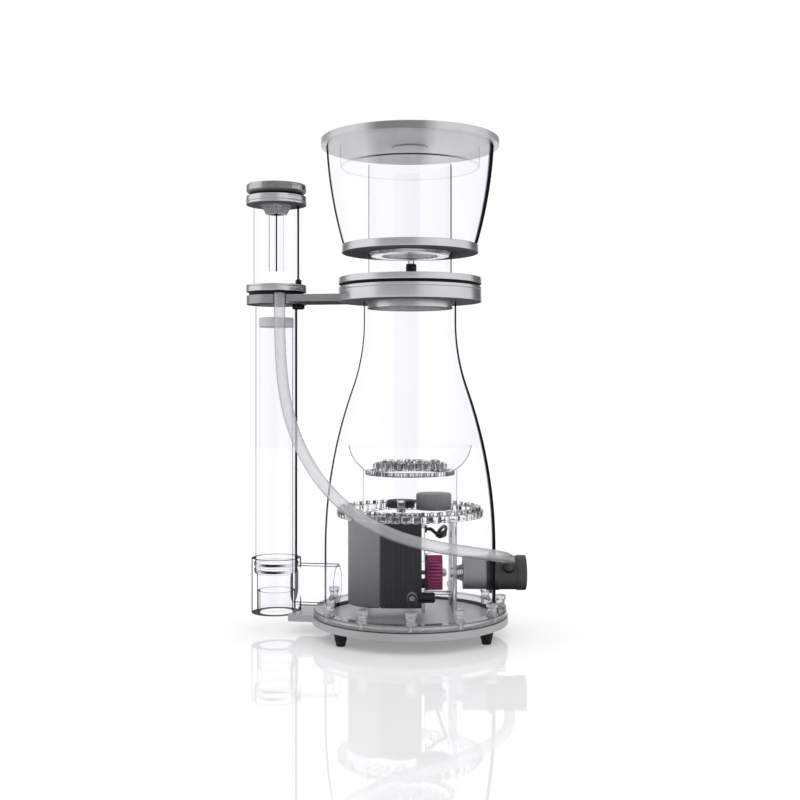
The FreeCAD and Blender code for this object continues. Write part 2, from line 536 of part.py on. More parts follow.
def build_pump():
    """Needle-wheel pump that lies along X: motor, rotor, clear chamber, nozzle and its lead."""
    keep(turned_along_x_cover(), "motor_cover")
    housing = box("housing_block", ("motor_split", "motor_right"), ("-motor_depth", "motor_depth"),
                  ("motor_low", "motor_top"))
    keep(cut("motor_housing", housing, [
        rod_along_x("rotor_bore", "bore_radius", "bore_left", "motor_right + 1")]), "motor_housing")
    plate = box("backplate_block", ("motor_right", "backplate_right"), ("-plate_half", "plate_half"),
                ("plate_foot", "front_plate_top"))
    keep(cut("pump_backplate", plate, [
        rod_along_x("backplate_bore", "bore_radius", "motor_right - 1", "backplate_right + 1")]),
        "pump_backplate")
    chamber = rod_along_x("volute_outside", "volute_radius", "backplate_right", "volute_right")
    front = box("front_plate_block", ("volute_right", "front_plate_right"), ("-plate_half", "plate_half"),
                ("plate_foot", "front_plate_top"))
    keep(cut("volute", joined("volute_solid", [chamber, front]), [
        rod_along_x("volute_inside", "chamber_radius", "backplate_right - 1", "volute_right"),
        rod_along_x("nozzle_seat", "nozzle_radius + glue_gap", "volute_right - 1", "front_plate_right + 1"),
        rod("volute_outlet", "nozzle_radius", "shaft_height", "shaft_height + volute_radius + 1",
            x="(backplate_right + volute_right) / 2")]), "volute")

    web = rod_along_x("wheel_web_disc", "wheel_radius", "wheel_left", "wheel_web")
    hub = rod_along_x("wheel_hub", "hub_radius", "wheel_left", "wheel_right")
    needles = []
    for circle in ("pin_circle_outer", "pin_circle_inner"):
        for turn in around(NEEDLE_COUNT, 360 / NEEDLE_COUNT):
            needles.append(rod_along_x(
                "needle", "needle_radius", "wheel_web - 1", "wheel_right",
                y=f"{circle} * cos({turn})", z=f"shaft_height + {circle} * sin({turn})"))
    wheel = joined("wheel_solid", [web, hub] + needles)
    keep(cut("needle_wheel", wheel, [
        rod_along_x("wheel_bore", "axle_radius", "wheel_left - 1", "wheel_right + 1")]), "needle_wheel")
    magnet = rod_along_x("magnet_rod", "magnet_radius", "magnet_left", "magnet_right")
    keep(cut("rotor_magnet", magnet, [
        rod_along_x("magnet_bore", "axle_radius", "magnet_left - 1", "magnet_right + 1")]), "rotor_magnet")
    keep(rod_along_x("rotor_axle", "axle_radius", "axle_left", "axle_right"), "rotor_axle")
    nut = rod_along_x("nut_block", "nut_radius", "wheel_right", "axle_right - 1")
    keep(cut("wheel_nut", nut, [
        rod_along_x("nut_bore", "axle_radius", "wheel_right - 1", "axle_right")]), "wheel_nut")
    bush = rod_along_x("bush_disc", "bore_radius", "magnet_right + 0.6", "motor_right")
    keep(cut("rotor_bush", bush, [
        rod_along_x("bush_bore", "axle_radius + bush_gap", "magnet_right", "backplate_right")]),
        "rotor_bush")

    nozzle = doc.addObject("Part::Cone", "nozzle_cone")
    bind(nozzle, "Radius1", "nozzle_tip_radius")
    bind(nozzle, "Radius2", "nozzle_radius")
    bind(nozzle, "Height", "nozzle_right - nozzle_tip")
    place(nozzle, x="nozzle_tip", z="shaft_height", turn=ALONG_X)
    keep(cut("venturi_nozzle", nozzle, [
        rod_along_x("nozzle_way", "nozzle_bore", "nozzle_tip - 1", "nozzle_right + 1")]), "venturi_nozzle")
    inlet = rod_along_x("inlet_rod", "inlet_radius", "nozzle_right", "intake_left")
    keep(cut("inlet_sleeve", inlet, [
        rod_along_x("inlet_way", "inlet_bore", "nozzle_right + 3", "intake_left + 1"),
        rod_along_x("inlet_tip_way", "nozzle_bore", "nozzle_right - 1", "nozzle_right + 4")]),
        "inlet_sleeve")

    mounts = []
    for side in (-1, 1):
        mounts.append(rod("mount_pad", "mount_radius", "mount_left", "mount_right", x="mount_left",
                          y=f"{side} * (plate_half + mount_radius)", z="mount_z", turn=ALONG_X))
    keep(group("pump_mounts", mounts), "pump_mounts")


def turned_along_x_cover():
    """Make the half-round motor cover, whose round side faces away from the wheel."""
    barrel = rod("cover_barrel", "motor_depth", "motor_low", "motor_top", x="motor_split")
    half = box("cover_half", ("motor_split", "motor_split + motor_depth + 1"),
               ("-motor_depth - 1", "motor_depth + 1"), ("motor_low - 1", "motor_top + 1"))
    return cut("motor_cover", barrel, [half])


def build_intake():
    """Water intake through the body wall, with its nuts and the side port for the air hose."""
    body = rod_along_x("intake_rod", "intake_radius", "intake_left", "intake_right")
    keep(cut("intake_body", body, [
        rod_along_x("intake_way", "intake_bore", "intake_left - 1", "intake_right + 1")]), "intake_body")
    seal = rod_along_x("seal_rod", "wall_seal_radius", "body_radius - body_wall - 3", "body_radius + 0.5")
    inside = rod("seal_limit", "body_radius - body_wall - glue_gap", 0, "shoulder_start")
    seal_tools = [rod_along_x("seal_way", "intake_radius + glue_gap", "intake_left", "body_radius + 1")]
    inner_seal = doc.addObject("Part::Common", "seal_inside")
    inner_seal.Base = seal
    inner_seal.Tool = inside
    keep(cut("intake_seal", inner_seal, seal_tools), "intake_seal")
    tilt = FreeCAD.Rotation(FreeCAD.Vector(1, 0, 0), 90 - size_of("side_port_lift"))
    port = rod("port_rod", "barb_radius + 0.5", 0, "side_port_end", x="side_port", z="shaft_height",
               turn=tilt)
    keep(cut("side_port", port, [
        rod_along_x("port_saddle", "intake_radius", "intake_left", "intake_right")]), "side_port")


def build_bubble_parts():
    """Toothed bubble plate on posts, chamber tube, dish, diffuser, caps and sleeve above the pump."""
    disc = rod("bubble_disc", "bubble_radius", "bubble_low", "bubble_top")
    gaps = [
        rod("tooth_gap", "tooth_radius", "bubble_low - 1", "bubble_top + 1",
            x=f"bubble_radius * cos({turn})", y=f"bubble_radius * sin({turn})")
        for turn in around(TOOTH_COUNT, 360 / TOOTH_COUNT)
    ]
    port = rod("bubble_port", "nozzle_radius", "bubble_low - 1", "bubble_top + 1", x="low_cap_x",
               y="-low_cap_y")
    keep(cut("bubble_plate", disc, gaps + [port]), "bubble_plate")
    posts = [rod("post", "post_radius", "plate_top", "bubble_low", x="post_x", y=f"{side} * post_y")
             for side in (-1, 1)]
    pads = [
        rod("pad", "post_radius", "motor_top", "bubble_low", x="motor_split", y=f"{side} * motor_depth / 2")
        for side in (-1, 1)
    ]
    sleeve = ring("sleeve", "sleeve_radius - 1.5", "sleeve_radius", "bubble_top", "sleeve_top", x="sleeve_x",
                  y="sleeve_y")
    keep(group("plate_posts", posts + pads + [sleeve]), "plate_posts")
    keep(ring("chamber_tube", "chamber_tube_radius - chamber_tube_wall", "chamber_tube_radius", "bubble_top",
              "chamber_tube_top"), "chamber_tube")
    keep(turned("bubble_dish", [
        (0, "chamber_tube_top"), ("dish_low_radius", "chamber_tube_top"),
        ("dish_rim_radius", "dish_rim", "dish_arc"),
        ("dish_rim_radius - dish_wall", "dish_rim"),
        ("dish_low_radius - dish_wall / 2", "chamber_tube_top + dish_wall", "dish_wall - dish_arc"),
        (0, "chamber_tube_top + dish_wall")]), "bubble_dish")
    keep(ring("diffuser_plate", 0, "diffuser_radius", "diffuser_low", "diffuser_top"), "diffuser_plate")
    caps = [rod("tall_cap", "cap_radius", "bubble_top", "cap_top", x="cap_x"),
            rod("low_cap", "low_cap_radius", "bubble_top", "low_cap_top", x="low_cap_x", y="low_cap_y")]
    keep(group("plate_caps", caps), "plate_caps")


def cord_path(route):
    """Join a route's straight runs by tangent arcs, as large as the shorter run allows."""
    points = [FreeCAD.Vector(*point) for point in route]
    edges = []
    radii = []
    start = points[0]
    for before, corner, after in zip(points, points[1:], points[2:]):
        incoming = corner - before
        outgoing = after - corner
        turn = incoming.getAngle(outgoing)
        trim = 0.45 * min(incoming.Length, outgoing.Length)
        radius = trim / math.tan(turn / 2)
        radii.append(radius)
        first = corner - incoming.normalize() * trim
        last = corner + outgoing.normalize() * trim
        inward = (outgoing - incoming).normalize()
        middle = corner + inward * (radius / math.cos(turn / 2) - radius)
        edges.append(Part.LineSegment(start, first).toShape())
        edges.append(Part.Arc(first, middle, last).toShape())
        start = last
    edges.append(Part.LineSegment(start, points[-1]).toShape())
    return Part.Wire(edges), radii


def build_cord(label, route, diameter):
    """Sweep a round cord along its route, and compare its volume with section times length."""
    path, radii = cord_path(route)
    start = FreeCAD.Vector(*route[0])
    heading = FreeCAD.Vector(*route[1]) - start
    section = Part.Wire(Part.makeCircle(diameter / 2, start, heading))
    solid = path.makePipeShell([section], True, False)
    expected = math.pi * diameter ** 2 / 4 * path.Length
    print(f"{label}: length {path.Length:.1f} mm, radii " + " ".join(f"{radius:.0f}" for radius in radii))
    print(f"{label}: volume {solid.Volume:.0f}, section times length {expected:.0f}")
    cord = doc.addObject("Part::Feature", label)
    cord.Shape = solid
    keep(cord, label)


def build_cords():
    """Air hose outside the body, and the pump's lead inside it with its two glands."""
    build_cord("air_hose", HOSE_ROUTE, size_of("hose_diameter"))
    build_cord("pump_lead", LEAD_ROUTE, size_of("lead_diameter"))
    start = LEAD_ROUTE[0]
    end = LEAD_ROUTE[-1]
    glands = [
        rod("motor_gland", "gland_radius", "backplate_right", start[0], x="backplate_right", y=start[1],
            z=start[2], turn=ALONG_X),
        rod("wall_gland", "gland_radius", 0, "body_wall + 9", x=end[0], y=end[1], z=end[2],
            turn=lead_heading()),
    ]
    keep(group("lead_glands", glands), "lead_glands")


def check_document():
    """Stop if any object failed or any piece's shape is missing or broken."""
    doc.recompute()
    for item in doc.Objects:
        if "Invalid" in item.State or "Error" in item.State:
            raise RuntimeError(f"{item.Label} failed: {item.State}")
    for item in nodes:
        if item.Shape.isNull() or not item.Shape.isValid():
            raise RuntimeError(f"{item.Label} has no valid shape")
        print(f"{item.Label}: {len(item.Shape.Solids)} solids, {item.Shape.Volume:.0f} mm3")


def write_parts():
    """Write each piece to its own file."""
    os.makedirs("parts", exist_ok=True)
    for item in nodes:
        item.Shape.exportStep(f"parts/{item.Label}.step")


build_base()
build_body()
build_cup()
build_tower()
build_silencer()
build_pump()
build_intake()
build_bubble_parts()
build_cords()
check_document()
write_parts()
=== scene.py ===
import logging
import math
from dataclasses import dataclass
from enum import Enum
from typing import Callable, Iterable, Optional, Sequence, Union

import bmesh
import bpy
from mathutils import Matrix, Vector


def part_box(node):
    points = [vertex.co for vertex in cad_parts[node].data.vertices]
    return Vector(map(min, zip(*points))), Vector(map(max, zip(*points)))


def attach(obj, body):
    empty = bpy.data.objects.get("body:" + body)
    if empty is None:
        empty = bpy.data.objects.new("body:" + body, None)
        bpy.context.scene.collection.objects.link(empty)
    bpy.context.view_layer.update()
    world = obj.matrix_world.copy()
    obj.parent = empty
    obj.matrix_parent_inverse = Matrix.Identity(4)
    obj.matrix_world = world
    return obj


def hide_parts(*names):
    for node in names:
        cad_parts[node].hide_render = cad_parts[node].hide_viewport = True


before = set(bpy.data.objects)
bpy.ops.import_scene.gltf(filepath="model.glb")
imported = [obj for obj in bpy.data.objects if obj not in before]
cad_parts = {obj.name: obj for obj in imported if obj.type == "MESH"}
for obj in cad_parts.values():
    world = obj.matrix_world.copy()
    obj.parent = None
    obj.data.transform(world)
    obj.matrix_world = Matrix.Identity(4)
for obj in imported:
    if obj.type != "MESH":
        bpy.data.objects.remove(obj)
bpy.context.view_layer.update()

LOG = logging.getLogger("protein_skimmer")
MM = 0.001
WELD_DISTANCE = 1e-6
ON_AXIS = 1e-6
NO_LENGTH = 1e-9
STRAIGHT_DEGREES = 150.0
SHARP_DEGREES = 32.0
BEVELLED_DEGREES = 40.0
STEEP_RISE = 0.6
FLECKS_PER_RADIAN = 95
FLECK_HEIGHT = 3
FLECK_LAYER_SHIFT = 7.3
Corner = tuple[float, float]
Relief = Callable[[float, float, float], float]
Number = Union[int, float]


class Axis(Enum):
    """Directions that a turned piece's own axis can point along."""

    UP = "up"
    ALONG_Y = "along_y"
    ALONG_X = "along_x"


class Quality(Enum):
    """How many steps go round a turned piece."""

    FINE = 256
    MEDIUM = 128
    SMALL = 64


class Shade:
    """A shader socket that takes part in Python arithmetic."""

    def __init__(self, tree: "Tree", socket: bpy.types.NodeSocket) -> None:
        """Wrap a socket.

        Args:
            tree: The node tree that the socket belongs to.
            socket: An output socket that carries a number.
        """
        self.tree = tree
        self.socket = socket

    def _math(self, operation: str, first: "Value", second: "Value" = 0.0) -> "Shade":
        """Add a Math node for two values."""
        return self.tree.add("ShaderNodeMath", {"operation": operation}, {0: first, 1: second})

    def __add__(self, other: "Value") -> "Shade":
        """Add a value."""
        return self._math("ADD", self, other)

    def __sub__(self, other: "Value") -> "Shade":
        """Take a value away."""
        return self._math("SUBTRACT", self, other)

    def __mul__(self, other: "Value") -> "Shade":
        """Multiply by a value."""
        return self._math("MULTIPLY", self, other)

    def __pow__(self, other: "Value") -> "Shade":
        """Raise to a power."""
        return self._math("POWER", self, other)

    def __rsub__(self, other: "Value") -> "Shade":
        """Take this from a value."""
        return self._math("SUBTRACT", other, self)

    __radd__ = __add__
    __rmul__ = __mul__

    def distance(self, centre: "Value") -> "Shade":
        """Give how far this is from a centre."""
        return self._math("ABSOLUTE", self - centre)

    def clamped(self) -> "Shade":
        """Hold the value between 0 and 1."""
        return self.tree.add("ShaderNodeClamp", {}, {0: self})


Value = Union[Shade, Number, Sequence[float]]


class Tree:
    """A node tree that is filled through one method."""

    def __init__(self, tree: bpy.types.NodeTree) -> None:
        """Empty a tree and keep it.

        Args:
            tree: The material's or the world's node tree.
        """
        self.tree = tree
        self.tree.nodes.clear()

    def add(self, kind: str, settings: dict[str, object], values: dict[object, Value],
            out: object = 0) -> Shade:
        """Add a node, set it up and feed its sockets.

        Args:
            kind: The node's type.
            settings: Properties of the node, set first; "stops" fills a colour ramp.
            values: Socket names or numbers, with a value or a socket to link.
            out: The output socket to hand back.

        Returns:
            The chosen output socket.
        """
        node = self.tree.nodes.new(kind)
        for name, setting in settings.items():
            if name == "stops":
                self._fill_ramp(node.color_ramp, setting)
            else:
                setattr(node, name, setting)
        for name, value in values.items():
            if isinstance(value, Shade):
                self.tree.links.new(value.socket, node.inputs[name])
            else:
                node.inputs[name].default_value = value
        return Shade(self, node.outputs[out]) if len(node.outputs) else Shade(self, None)

    @staticmethod
    def _fill_ramp(ramp: bpy.types.ColorRamp, stops: Sequence[tuple[float, Sequence[float]]]) -> None:
        """Give a colour ramp its stops, from the lowest place to the highest."""
        for element, (place, colour) in zip((ramp.elements[0], ramp.elements[1]), (stops[0], stops[-1])):
            element.position = place
            element.color = (*colour, 1.0)
        for place, colour in stops[1:-1]:
            ramp.elements.new(place).color = (*colour, 1.0)

    def mixed(self, factor: Value, first: Value, second: Value) -> Shade:
        """Mix two colours."""
        return self.add("ShaderNodeMix", {"data_type": "RGBA"}, {0: factor, 6: first, 7: second}, out=2)

    def place(self, axis: str) -> Shade:
        """Give one coordinate of the piece's own space."""
        place = self.add("ShaderNodeTexCoord", {}, {}, out="Object")
        return self.add("ShaderNodeSeparateXYZ", {}, {"Vector": place}, out=axis)

    def facing(self) -> Shade:
        """Give 0 where a surface faces the viewer and 1 where it is seen on edge."""
        return self.add("ShaderNodeLayerWeight", {}, {"Blend": 0.5}, out="Facing")

    def downward(self) -> Shade:
        """Give 1 on undersides and 0 elsewhere."""
        normal = self.add("ShaderNodeNewGeometry", {}, {}, out="Normal")
        rise = self.add("ShaderNodeSeparateXYZ", {}, {"Vector": normal}, out="Z")
        return (rise * -1.4 - 0.3).clamped()

    def noise(self, scale: float, detail: float = 2.0, stretch: Sequence[float] = (1, 1, 1)) -> Shade:
        """Give noise in the piece's own space, stretched along its axes."""
        place = self.add("ShaderNodeTexCoord", {}, {}, out="Object")
        spread = self.add("ShaderNodeMapping", {}, {"Vector": place, "Scale": tuple(stretch)})
        return self.add("ShaderNodeTexNoise", {}, {"Vector": spread, "Scale": scale, "Detail": detail})

    def bump(self, height: Value, strength: float, distance: float) -> Shade:
        """Turn a height into a normal."""
        return self.add("ShaderNodeBump", {}, {"Strength": strength, "Distance": distance, "Height": height})

    def edge_wear(self, centre: float, gain: float) -> Shade:
        """Give a mask that rises on convex edges."""
        pointed = self.add("ShaderNodeNewGeometry", {}, {}, out="Pointiness")
        return ((pointed - centre) * gain).clamped()

    def finish(self, surface: Shade, kind: str = "ShaderNodeOutputMaterial") -> None:
        """Send a shader to the tree's output."""
        self.add(kind, {}, {"Surface": surface})


@dataclass(frozen=True)
class Finish:
    """What every finish has: a name and the record's slot that it stands for."""

    name: str
    slot: str

    def material(self) -> bpy.types.Material:
        """Make the material once and hand it back."""
        made = bpy.data.materials.get(self.name)
        if made is None:
            made = bpy.data.materials.new(self.name)
            made.use_nodes = True
            tree = Tree(made.node_tree)
            tree.finish(self.surface(tree))
        return made

    def surface(self, tree: Tree) -> Shade:
        """Build the surface shader; each finish has its own.

        Args:
            tree: The material's node tree.

        Returns:
            The surface's shader.
        """
        raise NotImplementedError


@dataclass(frozen=True)
class ShellAcrylic(Finish):
    """Outer side of a thin clear wall: clear face on, and dark where it is seen along its thickness, partly
    the wall's own thickness and partly painted reflection.

    Painted shade makes its right-hand edge broader and blacker than its left-hand one, and a painted
    reflection lays pale lavender down a middle band, when it has one, and over its right-hand side. Sizes are
    in millimetres.
    """

    radius: float = 60.0
    middle: float = 0.0
    left: float = 1.6
    right: float = 3.4
    left_depth: float = 0.75
    right_depth: float = 1.0
    band: float = 0.0
    gain: float = 14.0
    edge: tuple[float, float, float] = (0.008, 0.008, 0.009)

    def _start(self, width: float) -> float:
        """Give how far the wall is turned away at a distance from its outline."""
        return 1.0 - math.sqrt(1.0 - (1.0 - width / self.radius) ** 2)

    def surface(self, tree: Tree) -> Shade:
        """Mix the clear wall with its dark edge by how far it is turned from the viewer.

        Args:
            tree: The material's node tree.

        Returns:
            The surface's shader.
        """
        facing = tree.facing()
        offset = tree.place("X") - self.middle * MM
        # painted shade: lean rises towards the right-hand side, where the dark edge grows broader and blacker
        lean = (offset * (0.5 / (self.radius * MM)) + 0.5).clamped()
        start = lean * (self._start(self.right) - self._start(self.left)) + self._start(self.left)
        edge = ((facing - start) * self.gain).clamped()
        depth = lean * (self.right_depth - self.left_depth) + self.left_depth
        # painted reflection: pale lavender down a middle band of the given width and over the right-hand side
        painted_reflection_mask = ((self.band * MM - (offset + 0.004).distance(0.0)) * 900.0).clamped() + (lean - 0.72) * 1.6
        marks = tree.noise(60.0, 3.0, (1, 1, 0.2))
        bare = tree.add("ShaderNodeBsdfTransparent", {}, {"Color": (0.995, 0.995, 0.998, 1)})
        lavender = tree.add("ShaderNodeBsdfTransparent", {}, {"Color": (0.945, 0.945, 0.97, 1)})
        clear = tree.add("ShaderNodeMixShader", {}, {0: painted_reflection_mask.clamped(), 1: bare, 2: lavender})
        gloss = tree.add("ShaderNodeBsdfPrincipled", {}, {
            "Base Color": (0.9, 0.9, 0.92, 1), "Metallic": 1.0, "Roughness": marks * 0.04 + 0.02})
        dark = tree.add("ShaderNodeBsdfPrincipled", {}, {
            "Base Color": (*self.edge, 1), "Roughness": marks * 0.05 + 0.3, "Specular IOR Level": 0.0})
        wall = tree.add("ShaderNodeMixShader", {}, {0: facing ** 4 * 0.05 + 0.006, 1: clear, 2: gloss})
        return tree.add("ShaderNodeMixShader", {}, {0: edge * depth, 1: wall, 2: dark})


@dataclass(frozen=True)
class RimAcrylic(Finish):
    """Cut rim or seal seen through clear walls: painted shade, dark at the middle of its front and clear
    elsewhere.

    Its axis, its radius and how far its dark middle reaches sideways are in millimetres.
    """

    across: float = 0.0
    behind: float = 0.0
    radius: float = 82.0
    reach: float = 62.0

    def surface(self, tree: Tree) -> Shade:
        """Fade the rim's painted dark middle out to its sides and its back.

        Args:
            tree: The material's node tree.

        Returns:
            The surface's shader.
        """
        # painted shade: dark only at the middle of the front, faded out to the sides and the back
        ahead = ((tree.place("Y") - self.behind * MM) * (-2.05 / (self.radius * MM)) - 0.8).clamped()
        side = ((tree.place("X") - self.across * MM) * (1.0 / (self.reach * MM))).distance(0.0)
        dark = (ahead * (side * -1.0 + 1.25)).clamped()
        marks = tree.noise(60.0, 3.0)
        clear = tree.add("ShaderNodeBsdfTransparent", {}, {"Color": (0.93, 0.93, 0.95, 1)})
        black = tree.add("ShaderNodeBsdfPrincipled", {}, {
            "Base Color": (0.015, 0.015, 0.017, 1), "Roughness": marks * 0.1 + 0.3,
            "Specular IOR Level": 0.1})
        return tree.add("ShaderNodeMixShader", {}, {0: dark, 1: clear, 2: black})


@dataclass(frozen=True)
class BareAcrylic(Finish):
    """Inner side of a thin clear wall: barely seen."""

    def surface(self, tree: Tree) -> Shade:
        """Let light straight through, with a faint sheen at a low angle.

        Args:
            tree: The material's node tree.

        Returns:
            The surface's shader.
        """
        marks = tree.noise(60.0, 3.0, (1, 1, 0.2))
        clear = tree.add("ShaderNodeBsdfTransparent", {}, {"Color": (0.995, 0.995, 0.998, 1)})
        gloss = tree.add("ShaderNodeBsdfPrincipled", {}, {
            "Base Color": (0.9, 0.9, 0.92, 1), "Metallic": 1.0, "Roughness": marks * 0.04 + 0.02})
        return tree.add("ShaderNodeMixShader", {}, {0: tree.facing() ** 4 * 0.03 + 0.004, 1: clear, 2: gloss})


@dataclass(frozen=True)
class SolidAcrylic(Finish):
    """Thick clear acrylic that bends what is behind it, with painted shade darkening it where it is seen on
    edge.
    """

    tint: tuple[float, float, float] = (0.97, 0.97, 0.98)
    edge: tuple[float, float, float] = (0.22, 0.22, 0.24)
    edge_power: float = 3.0
    milk: float = 0.0

    def surface(self, tree: Tree) -> Shade:
        """Bend light as acrylic does, with a trace of polishing marks and some cloud.

        Args:
            tree: The material's node tree.

        Returns:
            The surface's shader.
        """
        # painted shade: the colour turns towards the edge colour where the acrylic is seen on edge
        colour = tree.mixed((tree.facing() ** self.edge_power).clamped(), (*self.tint, 1), (*self.edge, 1))
        marks = tree.noise(60.0, 3.0, (1, 1, 0.2))
        return tree.add("ShaderNodeBsdfPrincipled", {}, {
            "Base Color": colour, "Transmission Weight": 1.0 - self.milk, "IOR": 1.49,
            "Roughness": marks * 0.03})


@dataclass(frozen=True)
class Plastic(Finish):
    """Opaque plastic with fine turning marks, soft mottling, painted shade on its undersides and worn edges.
    """

    colour: tuple[float, float, float] = (0.55, 0.55, 0.57)
    roughness: float = 0.34
    marks: float = 0.04
    speckle: float = 0.05
    specular: float = 0.5
    metallic: float = 0.0
    # painted shade: under is the share of the colour kept on undersides
    under: float = 0.25
    # painted shade: fade darkens the colour towards the lower of its two heights
    fade: tuple[float, float, float] = (0.0, 1.0, 1.0)
    grain_stretch: tuple[float, float, float] = (0.05, 0.05, 1.0)

    def surface(self, tree: Tree) -> Shade:
        """Build satin plastic; fade is two heights in millimetres and the share of the colour at the lower
        one, as painted shade that darkens towards the bottom.

        Args:
            tree: The material's node tree.

        Returns:
            The surface's shader.
        """
        grain = tree.noise(900.0, 4.0, self.grain_stretch)
        mottle = tree.noise(22.0, 3.0)
        dark = tuple(channel * (1 - self.speckle) for channel in self.colour)
        pale = tuple(min(1.0, channel * (1 + self.speckle)) for channel in self.colour)
        body = tree.mixed(mottle, (*dark, 1), (*pale, 1))
        light = tuple(min(1.0, channel * 1.3 + 0.01) for channel in self.colour)
        worn = tree.mixed(tree.edge_wear(0.53, 6.0) * 0.35, body, (*light, 1))
        # painted shade: the colour darkens from the upper height down to the lower one
        low, high, shade = self.fade
        foot = ((tree.place("Z") - low * MM) * (1.0 / ((high - low) * MM))).clamped()
        shaded = tuple(channel * shade for channel in self.colour)
        graded = tree.mixed(foot, (*shaded, 1), worn)
        marks = tree.bump(grain, self.marks, 0.0003)
        gloss = mottle * 0.10 + grain * 0.08 + (self.roughness - 0.09)
        lit = tree.add("ShaderNodeBsdfPrincipled", {}, {
            "Base Color": graded, "Roughness": gloss, "Metallic": self.metallic,
            "Specular IOR Level": self.specular, "Normal": marks})
        # painted shade: undersides get a darker copy of the colour
        under = tuple(channel * self.under for channel in self.colour)
        painted_underside_shade = tree.add("ShaderNodeBsdfPrincipled", {}, {
            "Base Color": (*under, 1), "Roughness": gloss, "Specular IOR Level": 0.0, "Normal": marks})
        return tree.add("ShaderNodeMixShader", {}, {0: tree.downward(), 1: lit, 2: painted_underside_shade})


@dataclass(frozen=True)
class LidPlastic(Finish):
    """Turned grey lid, with a painted reflection: its flat faces show a darker band across the middle."""

    pale: tuple[float, float, float] = (0.60, 0.60, 0.62)
    deep: tuple[float, float, float] = (0.20, 0.20, 0.21)
    middle: float = -12.0
    half_width: float = 42.0

    def surface(self, tree: Tree) -> Shade:
        """Paint the darker band across the lid as a painted reflection, over fine turning marks.

        Args:
            tree: The material's node tree.

        Returns:
            The surface's shader.
        """
        grain = tree.noise(900.0, 4.0, (0.05, 0.05, 1.0))
        # painted reflection: a darker band across the middle of the lid
        across = (tree.place("X") - self.middle * MM).distance(0.0)
        band = ((self.half_width * MM - across) * 60.0).clamped()
        mottle = tree.noise(30.0, 3.0, (2.0, 0.3, 1.0))
        shade = tree.mixed(band * 0.75 + mottle * 0.2, (*self.pale, 1), (*self.deep, 1))
        return tree.add("ShaderNodeBsdfPrincipled", {}, {
            "Base Color": shade, "Roughness": mottle * 0.1 + 0.25, "Metallic": 0.45,
            "Normal": tree.bump(grain, 0.03, 0.0003)})


@dataclass(frozen=True)
class SoftRubber(Finish):
    """Matt black rubber with a fine moulded grain."""

    colour: tuple[float, float, float] = (0.007, 0.007, 0.008)

    def surface(self, tree: Tree) -> Shade:
        """Build rubber from a pebbled bump and dusty patches.

        Args:
            tree: The material's node tree.

        Returns:
            The surface's shader.
        """
        pebble = tree.noise(1400.0, 2.0)
        dust = tree.noise(35.0, 3.0)
        pale = tuple(channel * 2.2 for channel in self.colour)
        return tree.add("ShaderNodeBsdfPrincipled", {}, {
            "Base Color": tree.mixed(dust, (*self.colour, 1), (*pale, 1)), "Roughness": dust * 0.2 + 0.45,
            "Specular IOR Level": 0.15, "Normal": tree.bump(pebble, 0.1, 0.0002)})


@dataclass(frozen=True)
class MilkyHose(Finish):
    """Translucent silicone hose: milky white with a soft sheen."""

    colour: tuple[float, float, float] = (0.70, 0.71, 0.73)
    painted_shade_and_cloud: tuple[float, float, float] = (0.13, 0.13, 0.14)

    def surface(self, tree: Tree) -> Shade:
        """Mix scattering silicone with clear, more solid towards its edges.

        Args:
            tree: The material's node tree.

        Returns:
            The surface's shader.
        """
        facing = tree.facing()
        cloud = tree.noise(90.0, 3.0)
        # painted shade: the hose darkens towards its edges and on its underside, mixed with a random cloud
        low = facing ** 2.0 * 0.9 + tree.downward() + cloud * 0.3 - 0.1
        shade = tree.mixed(low.clamped(), (*self.colour, 1), (*self.painted_shade_and_cloud, 1))
        milky = tree.add("ShaderNodeBsdfPrincipled", {}, {
            "Base Color": shade, "Roughness": cloud * 0.08 + 0.16, "Subsurface Weight": 0.3,
            "Subsurface Radius": (0.006, 0.006, 0.006), "Coat Weight": 0.5, "Coat Roughness": 0.08})
        clear = tree.add("ShaderNodeBsdfTransparent", {}, {"Color": (0.97, 0.97, 0.98, 1)})
        return tree.add("ShaderNodeMixShader", {}, {0: facing * 0.4 + 0.3, 1: clear, 2: milky})


@dataclass(frozen=True)
class BrushedSteel(Finish):
    """Stainless steel of the screws under the feet."""

    def surface(self, tree: Tree) -> Shade:
        """Build metal with fine scratches.

        Args:
            tree: The material's node tree.

        Returns:
            The surface's shader.
        """
        scratches = tree.noise(800.0, 2.0, (1, 1, 0.1))
        return tree.add("ShaderNodeBsdfPrincipled", {}, {
            "Base Color": tree.mixed(scratches, (0.52, 0.52, 0.54, 1), (0.68, 0.68, 0.7, 1)), "Metallic": 1.0,
            "Roughness": scratches * 0.15 + 0.22, "Normal": tree.bump(scratches, 0.1, 0.0002)})


BODY_CLEAR = ShellAcrylic("clear_body", "clear_acrylic", radius=80, left=2.2, right=3.8, left_depth=0.9,
                          band=15)
CUP_CLEAR = ShellAcrylic("clear_cup", "clear_acrylic", radius=92, left=2.6, right=5.2, left_depth=0.95)
NECK_CLEAR = ShellAcrylic("clear_neck", "clear_acrylic", radius=49, left=1.2, right=1.8, left_depth=0.5,
                          right_depth=0.75, band=16)
SKIRT_CLEAR = ShellAcrylic("clear_skirt", "clear_acrylic", radius=82, left=1.6, right=1.6, left_depth=0.16,
                           right_depth=0.16)
RISER_CLEAR = ShellAcrylic("clear_riser", "clear_acrylic", radius=25, middle=-160, left=1.4, right=3.4,
                           left_depth=0.3, right_depth=0.85)
STAND_CLEAR = ShellAcrylic("clear_standpipe", "clear_acrylic", radius=20, middle=-160, left=0.7, right=1.2,
                           left_depth=0.15, right_depth=0.55, band=6)
CAN_CLEAR = ShellAcrylic("clear_can", "clear_acrylic", radius=27, middle=-160, left=1.3, right=2.6,
                         left_depth=0.3, right_depth=0.95)
